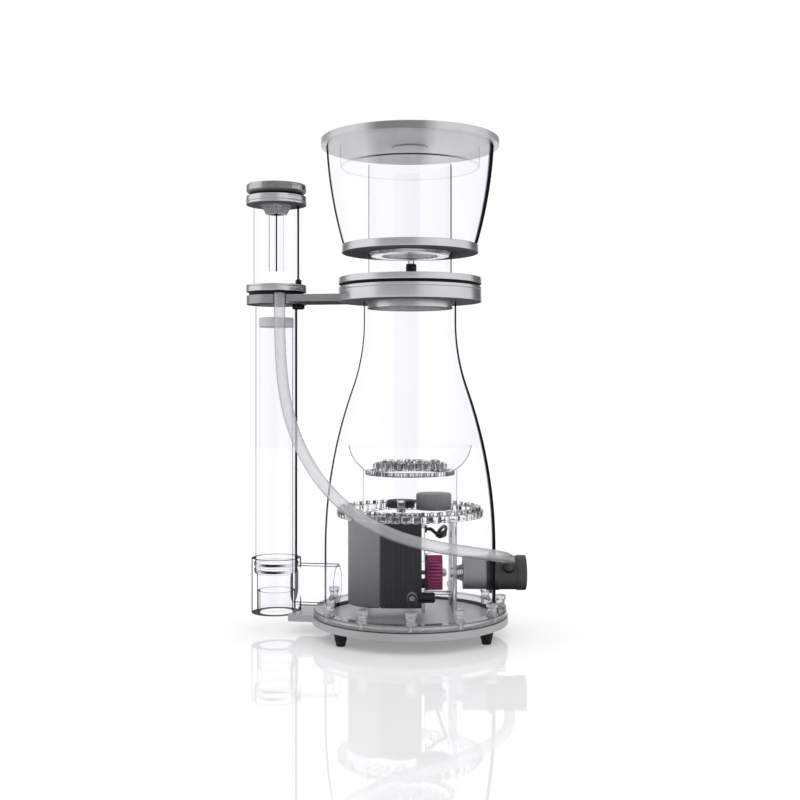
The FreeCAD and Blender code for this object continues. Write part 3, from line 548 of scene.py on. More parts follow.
SEAT_CLEAR = ShellAcrylic("clear_seat", "clear_acrylic", radius=9, middle=-160, left=1.0, right=0.7,
                          left_depth=0.5, right_depth=0.2)
SOCKET_CLEAR = ShellAcrylic("clear_socket", "clear_acrylic", radius=29.6, middle=-160, left=1.4, right=1.8,
                            left_depth=0.95, right_depth=0.85)
PIPE_CLEAR = ShellAcrylic("clear_pipe", "clear_acrylic", radius=25, middle=-110, left=1.3, right=1.3,
                          left_depth=0.85, right_depth=0.7)
INNER_CLEAR = ShellAcrylic("clear_inner", "clear_acrylic", radius=55, left=1.2, right=1.2, left_depth=0.4,
                           right_depth=0.4)
VOLUTE_CLEAR = ShellAcrylic("clear_volute", "clear_acrylic", radius=26, middle=30, left=1.2, right=1.2,
                            left_depth=0.5, right_depth=0.5)
RIM_CLEAR = RimAcrylic("clear_rim", "clear_acrylic")
SEAL_CLEAR = RimAcrylic("seal_in_socket", "rubber", across=-163, behind=25.06, radius=25, reach=14)
BARE_CLEAR = BareAcrylic("clear_inside", "clear_acrylic")
SOLID_CLEAR = SolidAcrylic("solid_acrylic", "clear_acrylic")
FLANGE_CLEAR = SolidAcrylic("flange_acrylic", "clear_acrylic", edge=(0.6, 0.6, 0.62), milk=0.18)
BRIGHT_CLEAR = SolidAcrylic("bright_acrylic", "clear_acrylic", edge=(0.45, 0.45, 0.48), edge_power=2.0,
                            milk=0.2)
SPARKLE_CLEAR = SolidAcrylic("sparkling_acrylic", "clear_acrylic", edge=(0.01, 0.01, 0.012), edge_power=1.4)
GREY = Plastic("turned_grey", "grey_pvc", colour=(0.56, 0.56, 0.575), roughness=0.24, metallic=0.8,
               under=0.17)
KNOB_GREY = Plastic("knob_grey", "grey_pvc", colour=(0.44, 0.44, 0.45), roughness=0.24, metallic=0.85,
                    under=0.13)
ARM_GREY = Plastic("arm_grey", "grey_pvc", colour=(0.30, 0.30, 0.31), roughness=0.3, metallic=0.7, under=0.2)
PLATE_GREY = Plastic("plate_grey", "grey_pvc", colour=(0.36, 0.36, 0.37), roughness=0.3, metallic=0.3,
                     speckle=0.25, under=0.6)
WEIR_GREY = Plastic("weir_grey", "grey_pvc", colour=(0.60, 0.60, 0.61), roughness=0.4, under=0.5)
CAP_GREY = Plastic("cap_grey", "grey_pvc", colour=(0.26, 0.26, 0.265), roughness=0.45, specular=0.2,
                   fade=(147, 163, 0.45))
MOTOR_GREY = Plastic("motor_cover_grey", "grey_pvc", colour=(0.27, 0.27, 0.275), roughness=0.5, specular=0.2,
                     fade=(30, 140, 0.45), marks=0.01)
INLET_GREY = Plastic("inlet_grey", "grey_pvc", colour=(0.40, 0.40, 0.41), roughness=0.5, specular=0.3)
CHARCOAL = Plastic("charcoal_plastic", "dark_grey", colour=(0.028, 0.028, 0.030), roughness=0.5,
                   specular=0.15,
                   marks=0.01)
INTAKE_DARK = Plastic("intake_dark_grey", "dark_grey", colour=(0.055, 0.055, 0.057), roughness=0.45,
                      specular=0.25)
BLACK = Plastic("matt_black", "black_plastic", colour=(0.007, 0.007, 0.008), roughness=0.4, specular=0.15)
# painted reflection: dark flecks laid on some cut faces of clear pieces
PAINTED_DARK_REFLECTION = Plastic("painted_dark_reflection", "clear_acrylic", colour=(0.10, 0.10, 0.105), roughness=0.3, specular=0.3)
MAGENTA = Plastic("wheel_magenta", "magenta", colour=(0.50, 0.05, 0.22), roughness=0.5, specular=0.2,
                  speckle=0.2, under=0.6)
# painted shade: a darker copy of the magenta, worn by the wheel's web behind its pins
WHEEL_SHADED = Plastic("wheel_magenta_painted_shade", "magenta", colour=(0.13, 0.006, 0.06), roughness=0.5, specular=0.2)
CERAMIC = Plastic("white_ceramic", "ceramic", colour=(0.72, 0.72, 0.70), roughness=0.25)
LID_GREY = LidPlastic("lid_grey", "grey_pvc")
RUBBER = SoftRubber("black_rubber", "rubber")
HOSE = MilkyHose("milky_hose", "hose")
STEEL = BrushedSteel("stainless_steel", "steel")


def upright_axis(node: str) -> Vector:
    """Give where the upright axis of a round CAD node meets the floor.

    Args:
        node: The node's name.

    Returns:
        The place, at a height of 0.
    """
    low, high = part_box(node)
    middle = (Vector(low) + Vector(high)) / 2
    return Vector((middle.x, middle.y, 0))


def eased(outline: Sequence[Corner], radius: float, steps: int = 3) -> list[Corner]:
    """Round the corners of a closed outline.

    Args:
        outline: The corners, as (radius, height).
        radius: How far each rounding reaches along its two edges.
        steps: How many straight steps make one rounding.

    Returns:
        The corners of the rounded outline.
    """
    made: list[Corner] = []
    for index, corner in enumerate(outline):
        here = Vector(corner)
        before = Vector(outline[index - 1]) - here
        after = Vector(outline[(index + 1) % len(outline)]) - here
        apart = before.length > NO_LENGTH and after.length > NO_LENGTH
        bend = apart and before.angle(after) < math.radians(STRAIGHT_DEGREES)
        reach = min(radius, before.length * 0.45, after.length * 0.45)
        if not bend or here.x < ON_AXIS:
            made.append(corner)
            continue
        first = here + before.normalized() * reach
        last = here + after.normalized() * reach
        for step in range(steps + 1):
            share = step / steps
            point = first * (1 - share) ** 2 + here * (2 * share * (1 - share)) + last * share ** 2
            made.append((point.x, point.y))
    return made


def arc(start: Corner, end: Corner, radius: float, steps: int) -> list[Corner]:
    """Give points of an arc between two corners.

    Args:
        start: The first corner.
        end: The last corner.
        radius: The radius; a positive one bends to the left of the travel.
        steps: How many straight steps make the arc.

    Returns:
        The points, with both corners.
    """
    first, last = Vector(start), Vector(end)
    chord = last - first
    left = Vector((-chord.y, chord.x)).normalized()
    height = math.sqrt(max(0.0, radius ** 2 - (chord.length / 2) ** 2)) * math.copysign(1, radius)
    centre = (first + last) / 2 + left * height
    sweep = 2 * math.asin(min(1.0, chord.length / 2 / abs(radius))) * math.copysign(1, radius)
    arm = first - centre
    points = [centre + Matrix.Rotation(sweep * step / steps, 2) @ arm for step in range(steps + 1)]
    return [(point.x, point.y) for point in points]


def shade_smooth(mesh: bmesh.types.BMesh) -> None:
    """Smooth a mesh's faces, except across its sharp edges.

    Args:
        mesh: The mesh to shade.
    """
    limit = math.radians(SHARP_DEGREES)
    for face in mesh.faces:
        face.smooth = True
    for edge in mesh.edges:
        edge.smooth = len(edge.link_faces) == 2 and edge.calc_face_angle(0.0) < limit


def smooth_object(name: str, mesh: bmesh.types.BMesh) -> bpy.types.Object:
    """Turn a bmesh into an object, smooth except at its sharp edges.

    Args:
        name: The object's name.
        mesh: The bmesh, which is freed.

    Returns:
        The object, in the scene.
    """
    bmesh.ops.remove_doubles(mesh, verts=mesh.verts, dist=WELD_DISTANCE)
    bmesh.ops.recalc_face_normals(mesh, faces=mesh.faces)
    shade_smooth(mesh)
    data = bpy.data.meshes.new(name)
    mesh.to_mesh(data)
    mesh.free()
    made = bpy.data.objects.new(name, data)
    bpy.context.scene.collection.objects.link(made)
    return made


def add_turned(
    mesh: bmesh.types.BMesh, outline: Sequence[Corner], place: Vector, steps: int,
    axis: Axis = Axis.UP, relief: Optional[Relief] = None,
) -> None:
    """Add a closed solid of revolution to a bmesh.

    Args:
        mesh: The mesh to add to.
        outline: Closed outline of (radius, distance along the axis) corners.
        place: A point that the axis goes through; distances along the axis count from it.
        steps: How many steps go round.
        axis: The axis's direction.
        relief: Gives a corner's new radius from its radius, distance and angle.
    """
    rings = []
    for step in range(steps):
        angle = math.tau * step / steps
        verts = []
        for radius, along in outline:
            reach = relief(radius, along, angle) if relief and radius > ON_AXIS else radius
            across = Vector((reach * math.cos(angle), reach * math.sin(angle)))
            if axis is Axis.UP:
                point = place + Vector((across.x, across.y, along))
            elif axis is Axis.ALONG_Y:
                point = place + Vector((across.x, along, across.y))
            else:
                point = place + Vector((along, across.x, across.y))
            verts.append(mesh.verts.new(point))
        rings.append(verts)
    for step, ring in enumerate(rings):
        following = rings[(step + 1) % steps]
        for index in range(len(outline)):
            after = (index + 1) % len(outline)
            if outline[index][0] < ON_AXIS and outline[after][0] < ON_AXIS:
                continue
            mesh.faces.new((ring[index], following[index], following[after], ring[after]))


def turned(
    name: str, outline: Sequence[Corner], place: Vector, quality: Quality = Quality.FINE,
    axis: Axis = Axis.UP, relief: Optional[Relief] = None, steps: Optional[int] = None,
) -> bpy.types.Object:
    """Make one turned piece; see add_turned for its arguments."""
    mesh = bmesh.new()
    add_turned(mesh, outline, place, steps or quality.value, axis, relief)
    return smooth_object(name, mesh)


def extruded(
    name: str, outline: Sequence[Corner], low: float, high: float, bevel: float,
) -> bpy.types.Object:
    """Raise a flat outline between two heights and round its edges.

    Args:
        name: The piece's name.
        outline: Its (x, y) corners, in metres.
        low: The lower height.
        high: The upper height.
        bevel: How far its edges are rounded.

    Returns:
        The piece.
    """
    mesh = bmesh.new()
    bottom = [mesh.verts.new((x, y, low)) for x, y in outline]
    top = [mesh.verts.new((x, y, high)) for x, y in outline]
    mesh.faces.new(list(reversed(bottom)))
    mesh.faces.new(top)
    for index in range(len(outline)):
        after = (index + 1) % len(outline)
        mesh.faces.new((bottom[index], bottom[after], top[after], top[index]))
    bmesh.ops.recalc_face_normals(mesh, faces=mesh.faces)
    edges = [edge for edge in mesh.edges if edge.calc_face_angle(0.0) > math.radians(BEVELLED_DEGREES)]
    bmesh.ops.bevel(mesh, geom=edges, offset=bevel, segments=3, affect="EDGES", clamp_overlap=True)
    return smooth_object(name, mesh)


def apply_modifiers(piece: bpy.types.Object) -> None:
    """Bake an object's modifiers into its mesh."""
    graph = bpy.context.evaluated_depsgraph_get()
    data = bpy.data.meshes.new_from_object(piece.evaluated_get(graph))
    piece.modifiers.clear()
    piece.data = data


def bored(piece: bpy.types.Object, cutters: Iterable[tuple[Vector, Vector, float]], steps: int = 64) -> None:
    """Cut round holes through a piece.

    Args:
        piece: The piece to cut.
        cutters: For each hole its start, its end and its radius.
        steps: How many steps go round each hole.
    """
    mesh = bmesh.new()
    for start, end, radius in cutters:
        turn = (end - start).to_track_quat("Z", "Y").to_matrix().to_4x4()
        made = bmesh.ops.create_cone(
            mesh, cap_ends=True, segments=steps, radius1=radius, radius2=radius, depth=(end - start).length)
        bmesh.ops.transform(mesh, matrix=Matrix.Translation((start + end) / 2) @ turn, verts=made["verts"])
    data = bpy.data.meshes.new("cutter")
    mesh.to_mesh(data)
    mesh.free()
    cutter = bpy.data.objects.new("cutter", data)
    bpy.context.scene.collection.objects.link(cutter)
    hole = piece.modifiers.new("holes", "BOOLEAN")
    hole.operation = "DIFFERENCE"
    hole.solver = "EXACT"
    hole.object = cutter
    apply_modifiers(piece)
    bpy.data.objects.remove(cutter)
    tidy = bmesh.new()
    tidy.from_mesh(piece.data)
    shade_smooth(tidy)
    tidy.to_mesh(piece.data)
    tidy.free()


def dress(piece: bpy.types.Object, finish: Finish) -> None:
    """Give a piece its finish on every slot.

    Args:
        piece: The piece.
        finish: What it wears.
    """
    piece.data.materials.clear()
    piece.data.materials.append(finish.material())


def stand_in(piece: bpy.types.Object, body: str, finish: Finish, *nodes: str) -> bpy.types.Object:
    """Dress a piece, ride it on its body and let it stand for CAD nodes.

    Args:
        piece: The piece.
        body: The body that it rides on.
        finish: What it wears.
        nodes: The CAD nodes that it stands for.

    Returns:
        The same piece.
    """
    dress(piece, finish)
    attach(piece, body)
    if nodes:
        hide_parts(*nodes)
    LOG.info("%s rides on %s", piece.name, body)
    return piece


def dress_node(node: str, finish: Finish) -> None:
    """Give a carried-over CAD node its finish.

    Args:
        node: The node's name.
        finish: What it wears.
    """
    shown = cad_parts[node]
    shown.data.materials.clear()
    shown.data.materials.append(finish.material())
    LOG.info("%s keeps its own shape", node)


def walled(
    name: str, outline: Sequence[Corner], place: Vector, body: str, finish: Finish, *nodes: str,
    quality: Quality = Quality.FINE, holes: Sequence[tuple[Vector, Vector, float]] = (),
) -> bpy.types.Object:
    """Make a clear turned wall, whose outer side has one finish and whose inner side is bare.

    Args:
        name: The piece's name.
        outline: Its closed outline of (radius, height) corners, in metres.
        place: A point on its axis.
        body: The body that it rides on.
        finish: The outer side's finish.
        nodes: The CAD nodes that it stands for.
        quality: How many steps go round it.
        holes: Round holes through it, each as its start, end and radius.

    Returns:
        The piece.
    """
    piece = turned(name, outline, place, quality)
    if holes:
        bored(piece, holes)
    stand_in(piece, body, finish, *nodes)
    piece.data.materials.append(BARE_CLEAR.material())
    for face in piece.data.polygons:
        outward = Vector((face.center.x - place.x, face.center.y - place.y, 0)).normalized()
        if face.normal.dot(outward) < 0.3:
            face.material_index = 1
    return piece


def mm(outline: Sequence[Sequence[float]]) -> list[Corner]:
    """Turn an outline in millimetres into metres."""
    return [(radius * MM, along * MM) for radius, along in outline]


def spot(x: float, y: float, z: float = 0.0) -> Vector:
    """Give a place in metres from millimetres."""
    return Vector((x, y, z)) * MM


def polar(reach: float, degrees: float, centre: Vector = Vector()) -> Vector:
    """Give the place at a reach and an angle round a centre.

    Args:
        reach: The distance from the centre, in millimetres.
        degrees: The angle.
        centre: The centre, in metres.

    Returns:
        The place, in metres.
    """
    angle = math.radians(degrees)
    return centre + Vector((math.cos(angle), math.sin(angle), 0)) * reach * MM


def knurl(teeth: int, depth: float, low: float, high: float, outer: float) -> Relief:
    """Make a relief of upright grooves on the part of an outline beyond a radius and between two heights.

    Args:
        teeth: How many grooves go round.
        depth: How deep they are, in millimetres.
        low: Where they start along the axis, in millimetres.
        high: Where they end along the axis, in millimetres.
        outer: The least radius that they touch, in millimetres.

    Returns:
        The relief, for turned pieces.
    """
    def reach(radius: float, along: float, angle: float) -> float:
        """Give a corner's radius, less the groove's depth there."""
        if radius < outer * MM or not low * MM <= along <= high * MM:
            return radius
        return radius - depth * MM * (0.5 + 0.5 * math.cos(angle * teeth))
    return reach


def chance(seed: float) -> float:
    """Give a fixed number between 0 and 1 that looks random."""
    return math.sin(seed * 12.9898) * 43758.5453 % 1.0


def paint_dark_reflections(piece: bpy.types.Object, share: float, inner: float, finish: Finish) -> None:
    """Darken some of a clear piece's steep faces, as painted reflections of dark surroundings in its cut
    edges.

    Args:
        piece: The piece, which already wears its main finish.
        share: The part of the steep faces to darken.
        inner: The radius in millimetres inside which nothing is darkened.
        finish: What the darkened faces wear.
    """
    piece.data.materials.append(finish.material())
    slot = len(piece.data.materials) - 1
    for face in piece.data.polygons:
        place = face.center
        if abs(face.normal.z) < STEEP_RISE and Vector(place[:2]).length > inner * MM:
            turn = round(math.atan2(place.y, place.x) * FLECKS_PER_RADIAN)
            layer = round(place.z / MM / FLECK_HEIGHT)
            if chance(turn + layer * FLECK_LAYER_SHIFT) < share:
                face.material_index = slot


def plain_ring(inner: float, outer: float, low: float, high: float, ease: float = 0.8) -> list[Corner]:
    """Outline a ring with eased edges, from sizes in millimetres.

    Args:
        inner: The inner radius.
        outer: The outer radius.
        low: The lower height.
        high: The upper height.
        ease: How far its edges are eased.

    Returns:
        The outline, in metres.
    """
    return eased(mm([(inner, low), (outer, low), (outer, high), (inner, high)]), ease * MM)


def grooved_ring(inner: float, outer: float, low: float, high: float, groove: float) -> list[Corner]:
    """Outline a ring with a fine turned groove round its rim, from sizes in millimetres.

    Args:
        inner: The inner radius.
        outer: The outer radius.
        low: The lower height.
        high: The upper height.
        groove: The groove's height.

    Returns:
        The outline, in metres.
    """
    return eased(mm([
        (inner, low), (outer, low), (outer, groove - 0.4), (outer - 0.5, groove), (outer, groove + 0.4),
        (outer, high), (inner, high)]), 0.7 * MM)


@dataclass
class Base:
    """Feet, screws, plate, flange and its clear thumbscrews, in millimetres."""

    foot_circle: float = 104.0
    foot_angles: tuple[float, ...] = (-142.0, -38.0, 38.0, 142.0)
    base_turn: float = 3.4
    screw_circle: float = 106.5
    screw_count: int = 12
    screw_left_out: int = 9

    def build(self) -> None:
        """Build the feet and thumbscrews and dress the plate."""
        self._feet()
        self._thumbscrews()
        dress_node("base_plate", PLATE_GREY)
        dress_node("base_gasket", RUBBER)
        dress_node("base_flange", FLANGE_CLEAR)
        dress_node("foot_screws", STEEL)

    def _feet(self) -> None:
        """Turn the four rubber feet, each with a moulded bead."""
        outline = eased(mm([
            (3.6, 0), (5, 0), (6.3, 6.0), (6.9, 6.4), (6.9, 7.6), (6.6, 8.0), (8.2, 15), (2.2, 15),
            (2.2, 3.1),
            (3.6, 3.1)]), 0.5 * MM)
        mesh = bmesh.new()
        for angle in self.foot_angles:
            add_turned(mesh, outline, polar(self.foot_circle, angle + self.base_turn), Quality.SMALL.value)
        stand_in(smooth_object("feet_moulded", mesh), "frame", RUBBER, "rubber_feet")

    def _thumbscrews(self) -> None:
        """Turn the clear thumbscrews with fluted heads and waists."""
        outline = eased(mm([
            (0, 17), (2.9, 17), (2.9, 31.05), (6.8, 31.05), (6.8, 32.6), (5.2, 33.4), (4.9, 36.0),
            (5.2, 39.0),
            (6.4, 40.2), (6.4, 44.2), (5.6, 45), (0, 45)]), 0.4 * MM)
        mesh = bmesh.new()
        flutes = knurl(10, 0.7, 40.0, 44.9, 5.4)
        for index in range(self.screw_count):
            if index != self.screw_left_out:
                place = polar(self.screw_circle, -90 + 30 * index)
                add_turned(mesh, outline, place, 80, relief=flutes)
        stand_in(smooth_object("thumbscrews_fluted", mesh), "frame", BRIGHT_CLEAR, "base_thumbscrews")


@dataclass
class ReactionBody:
    """Clear reaction body with its collar and seal, in millimetres."""

    foot_radius: float = 100.4
    neck_radius: float = 54.4
    wall: float = 4.0
    low: float = 24.0
    top: float = 404.0
    shoulder_start: float = 100.0
    shoulder_arc: float = 560.0
    neck_arc: float = 232.0
    collar: tuple[float, float, float, float] = (54.5, 84.0, 389.0, 406.4)
    seal: tuple[float, float, float, float] = (60.0, 80.0, 406.4, 409.7)
    outlet_bearing: float = 171.1
    outlet_height: float = 54.0
    outlet_hole: float = 25.05
    intake_height: float = 71.0
    intake_hole: float = 20.55
    lead_start: tuple[float, float, float] = (37.9, 85.1, 104.0)
    lead_heading: tuple[float, float] = (3.9, 8.6)
    lead_hole: float = 4.55

    def build(self) -> None:
        """Dress the shell and turn the collar and the seal."""
        self._shell()
        stand_in(turned("collar_turned", grooved_ring(*self.collar, groove=402.5), Vector()), "frame", GREY,
                 "body_collar")
        stand_in(turned("seal_turned", plain_ring(*self.seal, ease=1.2), Vector()), "seal", RUBBER,
                 "collar_seal")

    def _side(self, inset: float) -> list[Corner]:
        """Give one side of the shell from foot to top, moved inwards by an inset."""
        sweep = self.shoulder_arc + self.neck_arc
        drop = self.foot_radius - self.neck_radius
        rise = math.sqrt(sweep ** 2 - (sweep - drop) ** 2)
        reach = self.shoulder_arc - inset
        shoulder = (self.foot_radius - inset, self.shoulder_start)
        waist = (self.foot_radius - self.shoulder_arc + reach * (sweep - drop) / sweep,
                 self.shoulder_start + reach * rise / sweep)
        neck = (self.neck_radius - inset, self.shoulder_start + rise)
        side = [(self.foot_radius - inset, self.low)]
        side += arc(shoulder, waist, self.shoulder_arc - inset, 24)
        side += arc(waist, neck, -self.neck_arc - inset, 18)[1:]
        return side + [(self.neck_radius - inset, self.top)]

    def _shell(self) -> None:
        """Turn the clear shell and bore it for the outlet, the intake and the lead."""
        outline = mm(self._side(0.0) + list(reversed(self._side(self.wall))))
        bearing = math.radians(self.outlet_bearing)
        heading = Vector((math.cos(bearing), math.sin(bearing), 0))
        outlet = spot(0, 0, self.outlet_height)
        lead = Vector((*self.lead_heading, 0)).normalized()
        start = spot(*self.lead_start)
        holes = [
            (heading * 0.080 + outlet, heading * 0.112 + outlet, self.outlet_hole * MM),
            (spot(80, 0, self.intake_height), spot(112, 0, self.intake_height), self.intake_hole * MM),
            (start - lead * 0.004, start + lead * 0.02, self.lead_hole * MM),
        ]
        walled("body_shell_turned", outline, Vector(), "frame", BODY_CLEAR, "body_shell", holes=holes)


@dataclass
class CollectionCup:
    """Collection cup with neck, rings, drain and lid, in millimetres."""

    drain: tuple[float, float] = (2.0, 65.0)
    teeth: int = 150

    def build(self) -> None:
        """Turn the cup's rings, neck ring, drain and lid, and dress its clear walls."""
        outer = arc((78.6, 455.7), (98.4, 571), 500, 24)
        inner = arc((75.6, 455.7), (95.4, 571), 500, 24)
        walled("cup_wall_turned", mm(outer + list(reversed(inner))), Vector(), "cup", CUP_CLEAR, "cup_wall")
        walled("neck_tube_turned", plain_ring(46, 49, 388.5, 550, 0.4), Vector(), "cup", NECK_CLEAR,
               "neck_tube")
        walled("lid_skirt_turned", plain_ring(79.5, 82, 548.5, 571, 0.4), Vector(), "lid", SKIRT_CLEAR,
               "lid_skirt")
        rim = eased(mm([(79.5, 547), (82, 547), (82, 548.4), (79.5, 548.4)]), 0.2 * MM)
        stand_in(turned("lid_skirt_rim", rim, Vector()), "lid", RIM_CLEAR, "lid_skirt")
        dress_node("spigot_ring", GREY)
        stand_in(turned("cup_collar_turned", plain_ring(49.05, 84, 409.7, 417.2), Vector()), "cup", GREY,
                 "cup_collar")
        floor = turned("cup_floor_turned", plain_ring(49.05, 80.3, 446.5, 455.7), Vector())
        hole = spot(*self.drain)
        bored(floor, [(hole + spot(0, 0, 440), hole + spot(0, 0, 460), 4.05 * MM)])
        stand_in(floor, "cup", GREY, "cup_floor_ring")
        self._neck_ring()
        self._drain()
        self._lid()

    def _neck_ring(self) -> None:
        """Turn the finely serrated clear ring in the neck."""
        outline = eased(mm([(33, 443), (45.9, 443), (45.9, 455), (33, 455)]), 0.6 * MM)
        fine = knurl(self.teeth, 0.8, 443.5, 454.5, 45.0)
        stand_in(turned("neck_ring_serrated", outline, Vector(), relief=fine, steps=self.teeth * 4), "cup",
                 SOLID_CLEAR, "neck_ring")

    def _drain(self) -> None:
        """Turn the drain's nipple and its ribbed cap."""
        place = spot(*self.drain)
        nipple = eased(mm([
            (2.5, 433), (3.6, 433), (4, 434.5), (4, 455.6), (2.5, 455.6)]), 0.3 * MM)
        stand_in(turned("nipple_turned", nipple, place, Quality.SMALL), "cup", SOLID_CLEAR, "drain_nipple")
        cap = eased(mm([
            (0, 431), (5.5, 431), (6.5, 432), (6.5, 439.4), (5.9, 441), (4.1, 441), (4.1, 433), (0, 433)]),
            0.3 * MM)
        ribs = knurl(18, 0.6, 432.2, 439.6, 6.0)
        stand_in(turned("drain_cap_ribbed", cap, place, relief=ribs, steps=144), "drain_cap", BLACK,
                 "drain_cap")

    def _lid(self) -> None:
        """Turn the lid with its lip, its boss and the stepped underside."""
        outline = eased(mm([
            (0, 569.5), (21, 569.5), (22, 570.4), (22, 571), (79.2, 571), (104.2, 571), (104.8, 571.6),
            (104.8, 579), (103.8, 580), (101.5, 580), (100.5, 579.3), (0, 579.3)]), 0.5 * MM)
        stand_in(turned("lid_turned", outline, Vector()), "lid", LID_GREY, "cup_lid")


@dataclass
class Tower:
    """Outlet tower: socket, pipe, riser, sliding standpipe and the arm that holds it, in millimetres."""

    bolt: tuple[float, float] = (33.0, -32.0)
    barb: tuple[float, float] = (33.3, -77.7)

    def __post_init__(self) -> None:
        """Find the tower's axis."""
        self.axis = upright_axis("riser_tube")

    def build(self) -> None:
        """Dress the tower's tubes and make its screws."""
        walled("riser_turned", plain_ring(22, 25, 67, 397.2, 0.4), self.axis, "frame", RISER_CLEAR,
               "riser_tube")
        walled("standpipe_turned", plain_ring(17.5, 20, 22, 361, 0.4), self.axis, "standpipe", STAND_CLEAR,
               "standpipe")
        dress_node("outlet_socket", SOCKET_CLEAR)
        dress_node("outlet_pipe", PIPE_CLEAR)
        dress_node("riser_seals", SEAL_CLEAR)
        dress_node("support_arm", ARM_GREY)
        ring = eased(mm([(17.6, 361), (20.6, 361), (20.6, 372), (17.6, 372)]), 0.5 * MM)
        stand_in(turned("weir_ring", ring, self.axis, Quality.MEDIUM), "standpipe", WEIR_GREY,
                 "standpipe_ring")
        self._clamp_screw()

    def _clamp_screw(self) -> None:
        """Turn the knurled thumbscrew under the clamp and the hexagonal nut above it."""
        place = polar(self.bolt[0], self.bolt[1], self.axis)
        outline = eased(mm([
            (0, 381.3), (6.3, 381.3), (7.3, 382.6), (7.3, 386.4), (6.6, 387.3), (2, 387.3), (2, 417),
            (0, 417)]),
            0.25 * MM)
        grip = knurl(24, 0.7, 382.4, 386.8, 6.8)
        stand_in(turned("clamp_screw_knurled", outline, place, relief=grip, steps=144), "clamp_screw", BLACK,
                 "clamp_screw")
        nut = eased(mm([(2.1, 411), (3.6, 411), (3.6, 416), (2.1, 416)]), 0.3 * MM)
        stand_in(turned("bolt_nut_hexagonal", nut, place, steps=6), "frame", BLACK, "bolt_nut")


@dataclass
class Silencer:
    """Air silencer on the tower: deck, can, top ring, knob, needle and the hose's barb, in millimetres."""

    sectors: int = 3
    grooves: int = 168

    def __post_init__(self) -> None:
        """Find the tower's axis."""
        self.axis = upright_axis("riser_tube")

    def build(self) -> None:
        """Turn the rings and the knob, and dress the clear can and air tube."""
        walled("can_turned", plain_ring(24.7, 27.2, 411, 507, 0.4), self.axis, "frame", CAN_CLEAR,
               "silencer_can")
        self._seat()
        dress_node("silencer_gasket", RUBBER)
        tower = Tower()
        deck = turned("silencer_deck_turned", grooved_ring(22, 36, 402.6, 411, 408.6), self.axis)
        bolt = polar(*tower.bolt, self.axis)
        bored(deck, [(bolt + spot(0, 0, 395), bolt + spot(0, 0, 420), 2.1 * MM)])
        stand_in(deck, "frame", GREY, "silencer_base")
        top = turned("silencer_top_turned", grooved_ring(4.75, 36, 507, 517, 510.2), self.axis)
        stand_in(top, "frame", GREY, "silencer_top_ring")
        self._knob()
        needle = eased(mm([
            (0, 428), (0.9, 428), (0.9, 495), (4.15, 497), (4.15, 517), (0, 517)]), 0.2 * MM)
        stand_in(turned("air_needle_turned", needle, self.axis, Quality.SMALL), "needle", BLACK, "air_needle")
        barb = eased(mm([
            (3.5, 399.5), (6.4, 399.5), (6.5, 400.2), (6.0, 400.5), (6.5, 401.4), (6.1, 401.7), (6.5, 402.6),
            (3.5, 402.6)]), 0.15 * MM)
        stand_in(turned("hose_barb_turned", barb, polar(*tower.barb, self.axis), Quality.SMALL), "frame",
                 BLACK, "hose_barb")

    def _seat(self) -> None:
        """Turn the air tube and its ribbed conical seat."""
        walled("air_tube_turned", plain_ring(7.6, 9, 428, 496, 0.3), self.axis, "frame", SEAT_CLEAR,
               "air_tube",
               quality=Quality.MEDIUM)
        cone = eased(mm([(7.6, 496), (12.5, 496), (17.9, 506.2), (17.9, 507), (7.6, 507)]), 0.5 * MM)
        ribs = knurl(32, 1.2, 495, 507, 10.0)
        stand_in(turned("air_seat_ribbed", cone, self.axis, relief=ribs, steps=256), "frame", BRIGHT_CLEAR,
                 "air_tube")

    def _knob(self) -> None:
        """Turn the air knob, knurled in sectors that alternate with smooth ones."""
        outline = eased(mm([
            (4.6, 519.5), (31.5, 519.5), (32.6, 520.2), (35.2, 522.6), (35.7, 523.2), (35.7, 529.8),
            (34.9, 531),
            (12, 531), (11, 530.4), (0, 530.4), (0, 528), (4.6, 528)]), 0.4 * MM)
        grooves, sectors = self.grooves, self.sectors

        def reach(radius: float, along: float, angle: float) -> float:
            """Give a corner's radius, less the groove's depth inside a knurled sector."""
            knurled = math.cos((angle - math.radians(-83)) * sectors) > 0.0
            if radius < 35.0 * MM or not 522.8 * MM <= along <= 530.4 * MM or not knurled:
                return radius
            return radius - 0.9 * MM * (0.5 + 0.5 * math.cos(angle * grooves))
        knob = turned("air_knob_knurled", outline, self.axis, relief=reach, steps=grooves * 6)
        stand_in(knob, "knob", KNOB_GREY, "air_knob")


